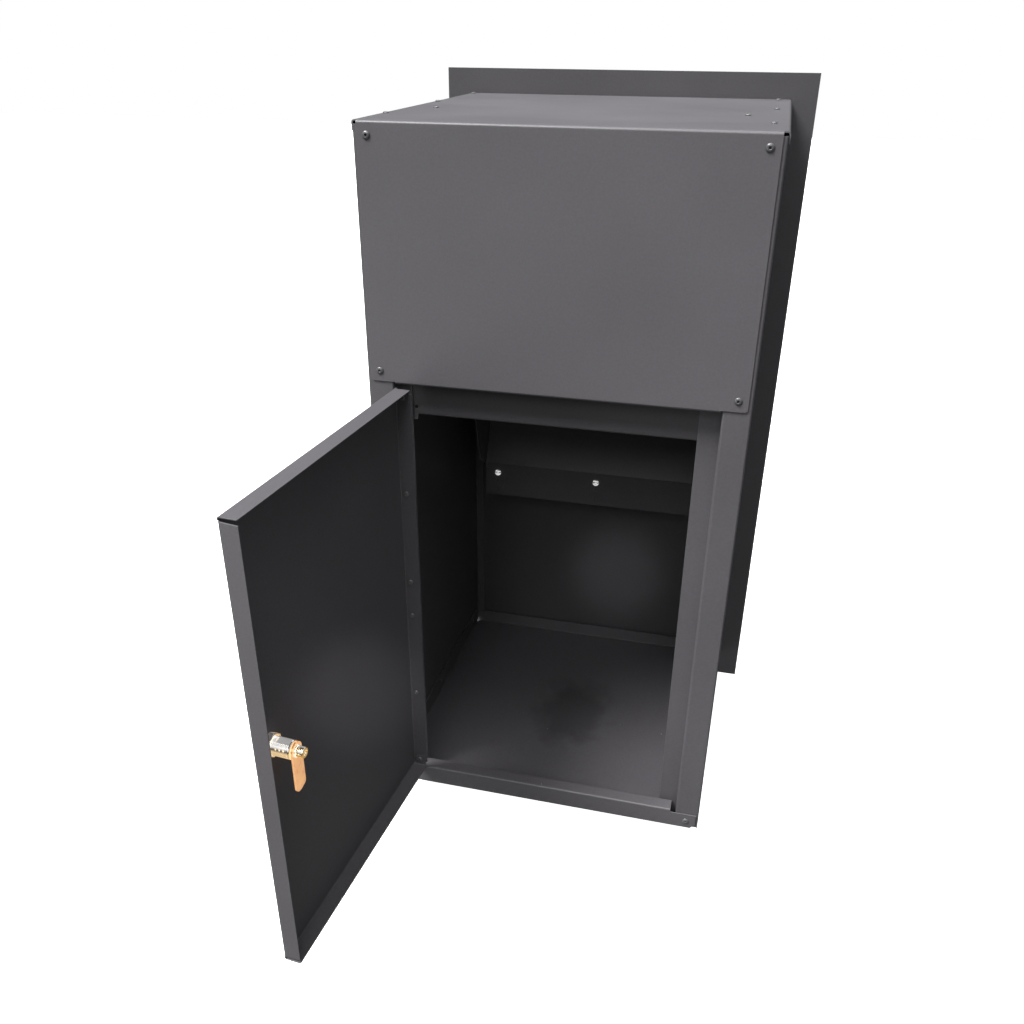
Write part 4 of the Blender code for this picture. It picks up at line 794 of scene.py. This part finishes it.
def lock_fixings():
    """Cam keeps its CAD shape; the washer and the brass end screw are turned in full detail."""
    # Painted reflections: a peach emission on the cam and a white one on the washer.
    warm = (PEACH_BOX, PEACH_BOX, 0.75)
    gold = plated("yellow_zinc", (0.90, 0.50, 0.22), 0.26, (0.90, 0.58, 0.30), metallic=0.35, studio=warm)
    dress("lock_cam", gold, 0.25, 40.0)
    zinc = plated("washer_zinc", (0.83, 0.84, 0.86), 0.14, studio=(WHITE_BOX, WHITE_BOX, 0.85))
    node = "cam_washer"
    thick = lock_length(node)
    section = [
        (WASHER_HOLE, 0.0),
        (WASHER_R - 0.3, 0.0),
        (WASHER_R, 0.3),
        (WASHER_R, thick - 0.3),
        (WASHER_R - 0.3, thick),
        (WASHER_HOLE, thick),
    ]
    washer = object_from(revolve_ring(section, 48), "cam_washer_turned", zinc)
    centre = centre_line(node, DOOR_IN)
    washer.data.transform(seat_matrix(centre, DOOR_IN, DOOR_ACROSS))
    soften(washer, 0.0001, 2, 30.0)
    place(washer, node, "lock")

    # Painted reflection: the end screw gets a white emission above and a brass one below.
    golden = (WHITE_BOX, BRASS_BOX, 0.55)
    brass = plated("bright_brass", (0.86, 0.66, 0.30), 0.12, (0.92, 0.76, 0.44), studio=golden)
    node = "cam_screw"
    length = lock_length(node)
    head = SCREW_R
    head_from = length - SCREW_HEAD_LONG
    profile = [
        (0.0, 0.0),
        (1.6, 0.0),
        (2.0, 0.5),
        *threads(2.0, 0.6, head_from - 0.4, 0.7, 0.22),
        (2.0, head_from),
        (head, head_from),
        (head, head_from + 1.4),
        (head - 0.45, head_from + 1.7),
        (head - 0.45, head_from + 2.3),
        (head, head_from + 2.6),
        (head, length - 0.9),
        (head - 0.5, length - 0.2),
        (head - 1.0, length),
        (2.6, length),
        (2.3, length - 0.4),
        (1.9, length - 2.4),
        (0.0, length - 2.9),
    ]
    screw = object_from(revolve(profile, 48), "cam_screw_turned", brass)
    cut(screw, cross_recess(1.3, 2.4, length, 3.8))
    screw.data.transform(seat_matrix(centre_line(node, DOOR_IN), DOOR_IN, DOOR_ACROSS))
    soften(screw, 0.00015, 2, 40.0)
    place(screw, node, "lock")


def cam_lock():
    # Painted reflection: the chrome gets a white emission above and a warm one below.
    bright = (WHITE_BOX, WARM_BOX, 0.90)
    chrome = plated("lock_chrome", (0.70, 0.69, 0.67), 0.08, (0.90, 0.84, 0.74), studio=bright)
    lock_barrel(chrome)
    lock_nut(chrome)
    lock_plug(chrome)
    lock_fixings()


# ------------------------------------------------------------------ hinge pins, hopper fittings
def small_metal():
    zinc = plated("pin_zinc", (0.62, 0.62, 0.63), 0.26, None, (90.0, 90.0, 900.0))
    for node in ("hinge_pin_upper", "hinge_pin_lower", "hopper_pin_left", "hopper_pin_right"):
        dress(node, zinc, 0.2, 40.0)
    black = rubber("black_rubber")
    for node in ("flap_bumper_left", "flap_bumper_right"):
        dress(node, black, 0.25, 40.0)


# Share of the bar's radius left where the handle meets the flap.
HANDLE_FOOT = 0.97


def flap_handle():
    """Round-bar pull swept along a smooth path, a little thinner at the ends of its feet."""
    node = "flap_handle"
    low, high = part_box(node)
    steel = plated("handle_steel", (0.62, 0.62, 0.61), 0.24, None, (60.0, 900.0, 900.0))
    radius = 5.0 * MM
    centre = (low + high) / 2.0
    half = (high.x - low.x) / 2.0 - radius
    foot, grip = low.y, high.y - radius
    bend = 14.0 * MM
    corner_steps, straight_steps, sides = 12, 6, 32
    path = []
    for i in range(straight_steps):
        share = i / straight_steps
        path.append(Vector((-half, foot + (grip - bend - foot) * share, 0.0)))
    for i in range(corner_steps + 1):
        turn = 0.5 * pi * i / corner_steps
        path.append(Vector((-half + bend * (1.0 - cos(turn)), grip - bend * (1.0 - sin(turn)), 0.0)))
    path += [Vector((-p.x, p.y, p.z)) for p in reversed(path)]
    bm = bmesh.new()
    rows = []
    for i, point in enumerate(path):
        heading = (path[min(i + 1, len(path) - 1)] - path[max(i - 1, 0)]).normalized()
        side = heading.cross(Z_AXIS).normalized()
        at_foot = i in (0, len(path) - 1)
        r = radius * (HANDLE_FOOT if at_foot else 1.0)
        ring = []
        for j in range(sides):
            turn = 2.0 * pi * j / sides
            ring.append(bm.verts.new(point + side * (r * cos(turn)) + Z_AXIS * (r * sin(turn))))
        rows.append(ring)
    for lower, upper in zip(rows, rows[1:]):
        band(bm, lower, upper)
    bm.faces.new(rows[0])
    bm.faces.new(rows[-1])
    bmesh.ops.recalc_face_normals(bm, faces=bm.faces)
    obj = object_from(bm, "flap_handle_bar", steel)
    obj.data.transform(Matrix.Translation(Vector((centre.x, 0.0, centre.z))))
    soften(obj, 0.0002, 2, 50.0)
    place(obj, node, "hopper")


# ------------------------------------------------------------------ stage
# Large soft sources round the object: azimuth (0 in front, 90 from +X) and height in degrees, strength.
SOFT_LIGHTS = {
    "key": (-50.0, 55.0, 1.90),
    "right_high": (25.0, 75.0, 0.25),
    "right_fill": (25.0, 55.0, 0.06),
    "left_high": (-100.0, 75.0, 0.08),
    "front_low": (0.0, 35.0, 0.17),
    "back_high": (180.0, 60.0, 0.155),
    "floor_bounce": (-40.0, -20.0, 0.09),
}
SOURCE_WIDTH = radians(24.0)
AMBIENT = 0.237


def soft_light(name, azimuth, height, strength):
    turn, rise = radians(azimuth), radians(height)
    towards = Vector((sin(turn) * cos(rise), -cos(turn) * cos(rise), sin(rise)))
    light = bpy.data.lights.new(name, "SUN")
    light.angle = SOURCE_WIDTH
    light.energy = strength * pi
    obj = bpy.data.objects.new(name, light)
    bpy.context.scene.collection.objects.link(obj)
    obj.rotation_mode = "QUATERNION"
    obj.rotation_quaternion = (-towards).to_track_quat("-Z", "Y")
    return obj


# Soft patches of light: where the lamp hangs, what it points at, its cone in degrees and its watts.
GLOWS = {
    "wall_glow": ((0.16, -1.25, 0.95), (0.030, 0.205, 0.122), 6.2, 22.0),
    "door_glow": ((0.20, -1.20, 0.90), (-0.178, -0.337, 0.232), 8.0, 26.0),
}
GLOW_RADIUS = 0.02


def glow_light(name, at, aim, cone, watts):
    light = bpy.data.lights.new(name, "SPOT")
    light.energy = watts
    light.spot_size = radians(cone)
    light.spot_blend = 1.0
    light.shadow_soft_size = GLOW_RADIUS
    obj = bpy.data.objects.new(name, light)
    bpy.context.scene.collection.objects.link(obj)
    obj.location = at
    obj.rotation_mode = "QUATERNION"
    obj.rotation_quaternion = (Vector(aim) - Vector(at)).to_track_quat("-Z", "Y")
    return obj


# What shiny faces mirror of the room, from straight down (0) to straight up (1): height and colour.
MIRRORED_LOW = (0.30, (0.10, 0.10, 0.10, 1.0))
MIRRORED_MID = (0.58, (0.045, 0.045, 0.05, 1.0))
MIRRORED_TOP = (0.95, (0.55, 0.55, 0.57, 1.0))


def world_light():
    """White to the camera, a weak even fill on the object, and a bright ceiling in its reflections."""
    world = bpy.data.worlds.new("studio")
    bpy.context.scene.world = world
    world.use_nodes = True
    tree = world.node_tree
    tree.nodes.clear()
    out = tree.nodes.new("ShaderNodeOutputWorld")
    path = tree.nodes.new("ShaderNodeLightPath")
    direction = tree.nodes.new("ShaderNodeTexCoord")
    split = tree.nodes.new("ShaderNodeSeparateXYZ")
    tree.links.new(direction.outputs["Generated"], split.inputs[0])
    sky = tree.nodes.new("ShaderNodeValToRGB")
    stops = sky.color_ramp.elements
    stops[0].position, stops[0].color = MIRRORED_LOW
    stops[1].position, stops[1].color = MIRRORED_TOP
    middle = stops.new(MIRRORED_MID[0])
    middle.color = MIRRORED_MID[1]
    lift = tree.nodes.new("ShaderNodeMapRange")
    lift.inputs["From Min"].default_value = -1.0
    tree.links.new(split.outputs["Z"], lift.inputs["Value"])
    tree.links.new(lift.outputs["Result"], sky.inputs["Fac"])
    layers = {"seen": 1.0, "fill": AMBIENT, "mirrored": 1.0}
    shaders = {}
    for name, strength in layers.items():
        shaders[name] = tree.nodes.new("ShaderNodeBackground")
        shaders[name].inputs["Strength"].default_value = strength
        shaders[name].inputs["Color"].default_value = (1.0, 1.0, 1.0, 1.0)
    tree.links.new(sky.outputs["Color"], shaders["mirrored"].inputs["Color"])
    inner = tree.nodes.new("ShaderNodeMixShader")
    outer = tree.nodes.new("ShaderNodeMixShader")
    tree.links.new(path.outputs["Is Glossy Ray"], inner.inputs["Fac"])
    tree.links.new(shaders["fill"].outputs[0], inner.inputs[1])
    tree.links.new(shaders["mirrored"].outputs[0], inner.inputs[2])
    tree.links.new(path.outputs["Is Camera Ray"], outer.inputs["Fac"])
    tree.links.new(inner.outputs[0], outer.inputs[1])
    tree.links.new(shaders["seen"].outputs[0], outer.inputs[2])
    tree.links.new(outer.outputs[0], out.inputs["Surface"])


FLOOR_GAP = 0.0006
FLOOR_HALF = 9.0


def floor():
    """White floor that neither shadows nor lights the object."""
    level = CAD_BOX[0].z - FLOOR_GAP
    bm = bmesh.new()
    bmesh.ops.create_grid(bm, x_segments=8, y_segments=8, size=FLOOR_HALF)
    obj = object_from(bm, "studio_floor", paper_white("studio_paper"))
    obj.location = (0.0, 0.0, level)
    obj.visible_diffuse = False
    obj.visible_glossy = False
    obj.visible_shadow = False


def camera():
    azimuth, down, roll = radians(CAMERA_AZIMUTH), radians(CAMERA_DOWN), radians(CAMERA_ROLL)
    forward = Vector((-sin(azimuth) * cos(down), cos(azimuth) * cos(down), -sin(down)))
    right = Vector((cos(azimuth), sin(azimuth), 0.0))
    up = right.cross(forward)
    level_right = right * cos(roll) + up * sin(roll)
    level_up = up * cos(roll) - right * sin(roll)
    data = bpy.data.cameras.new("camera")
    data.sensor_width = 36.0
    data.lens = CAMERA_LENS
    data.shift_x, data.shift_y = CAMERA_SHIFT
    obj = bpy.data.objects.new("camera", data)
    bpy.context.scene.collection.objects.link(obj)
    turn = Matrix((level_right, level_up, -forward)).transposed().to_4x4()
    obj.matrix_world = Matrix.Translation(CAMERA_AT) @ turn
    bpy.context.scene.camera = obj


def stage():
    world_light()
    floor()
    for name, source in SOFT_LIGHTS.items():
        soft_light(name, *source)
    for name, glow in GLOWS.items():
        glow_light(name, *glow)
    camera()
    bpy.context.scene.view_settings.view_transform = "Standard"
    bpy.context.scene.view_settings.look = "None"


# ------------------------------------------------------------------ build
all_rivets()
chute_screws()
cam_lock()
small_metal()
flap_handle()
ALREADY_DRESSED = {"lock_cam", "hinge_pin_upper", "hinge_pin_lower", "hopper_pin_left", "hopper_pin_right"}
ALREADY_DRESSED |= {"flap_bumper_left", "flap_bumper_right"}
OWN_LOOK = {"top_cover", "floor_tray"}
# Where the floor's worn patch lies, and its half sizes, in metres.
SMUDGE = ((0.006, -0.010, 0.001), (0.062, 0.085, 0.03))
coat = powder_coat("charcoal_powder_coat")
# Painted shade: the face plate and the header rail get darker copies of the same coat, where the body and
# the hem shade them.
SHADED_COATS = {
    "face_plate": powder_coat("charcoal_powder_coat_plate_shaded", level=0.76),
    "header_rail": powder_coat("charcoal_powder_coat_header_shaded", level=0.66),
}
for node_name, node in NODES.items():
    if node.hide_render or node_name in ALREADY_DRESSED or node_name in OWN_LOOK:
        continue
    dress(node_name, SHADED_COATS.get(node_name, coat))
# Painted light: the top cover and the floor tray get lighter copies of the same coat, on top of their real
# smears, smudge and dust.
dress("top_cover", powder_coat("charcoal_powder_coat_wiped_and_lit", smears=0.11, level=1.09))
dress("floor_tray", powder_coat("charcoal_powder_coat_used_and_lit", smudge=SMUDGE, specks=0.8, level=1.12))
stage()

bpy.context.view_layer.update()
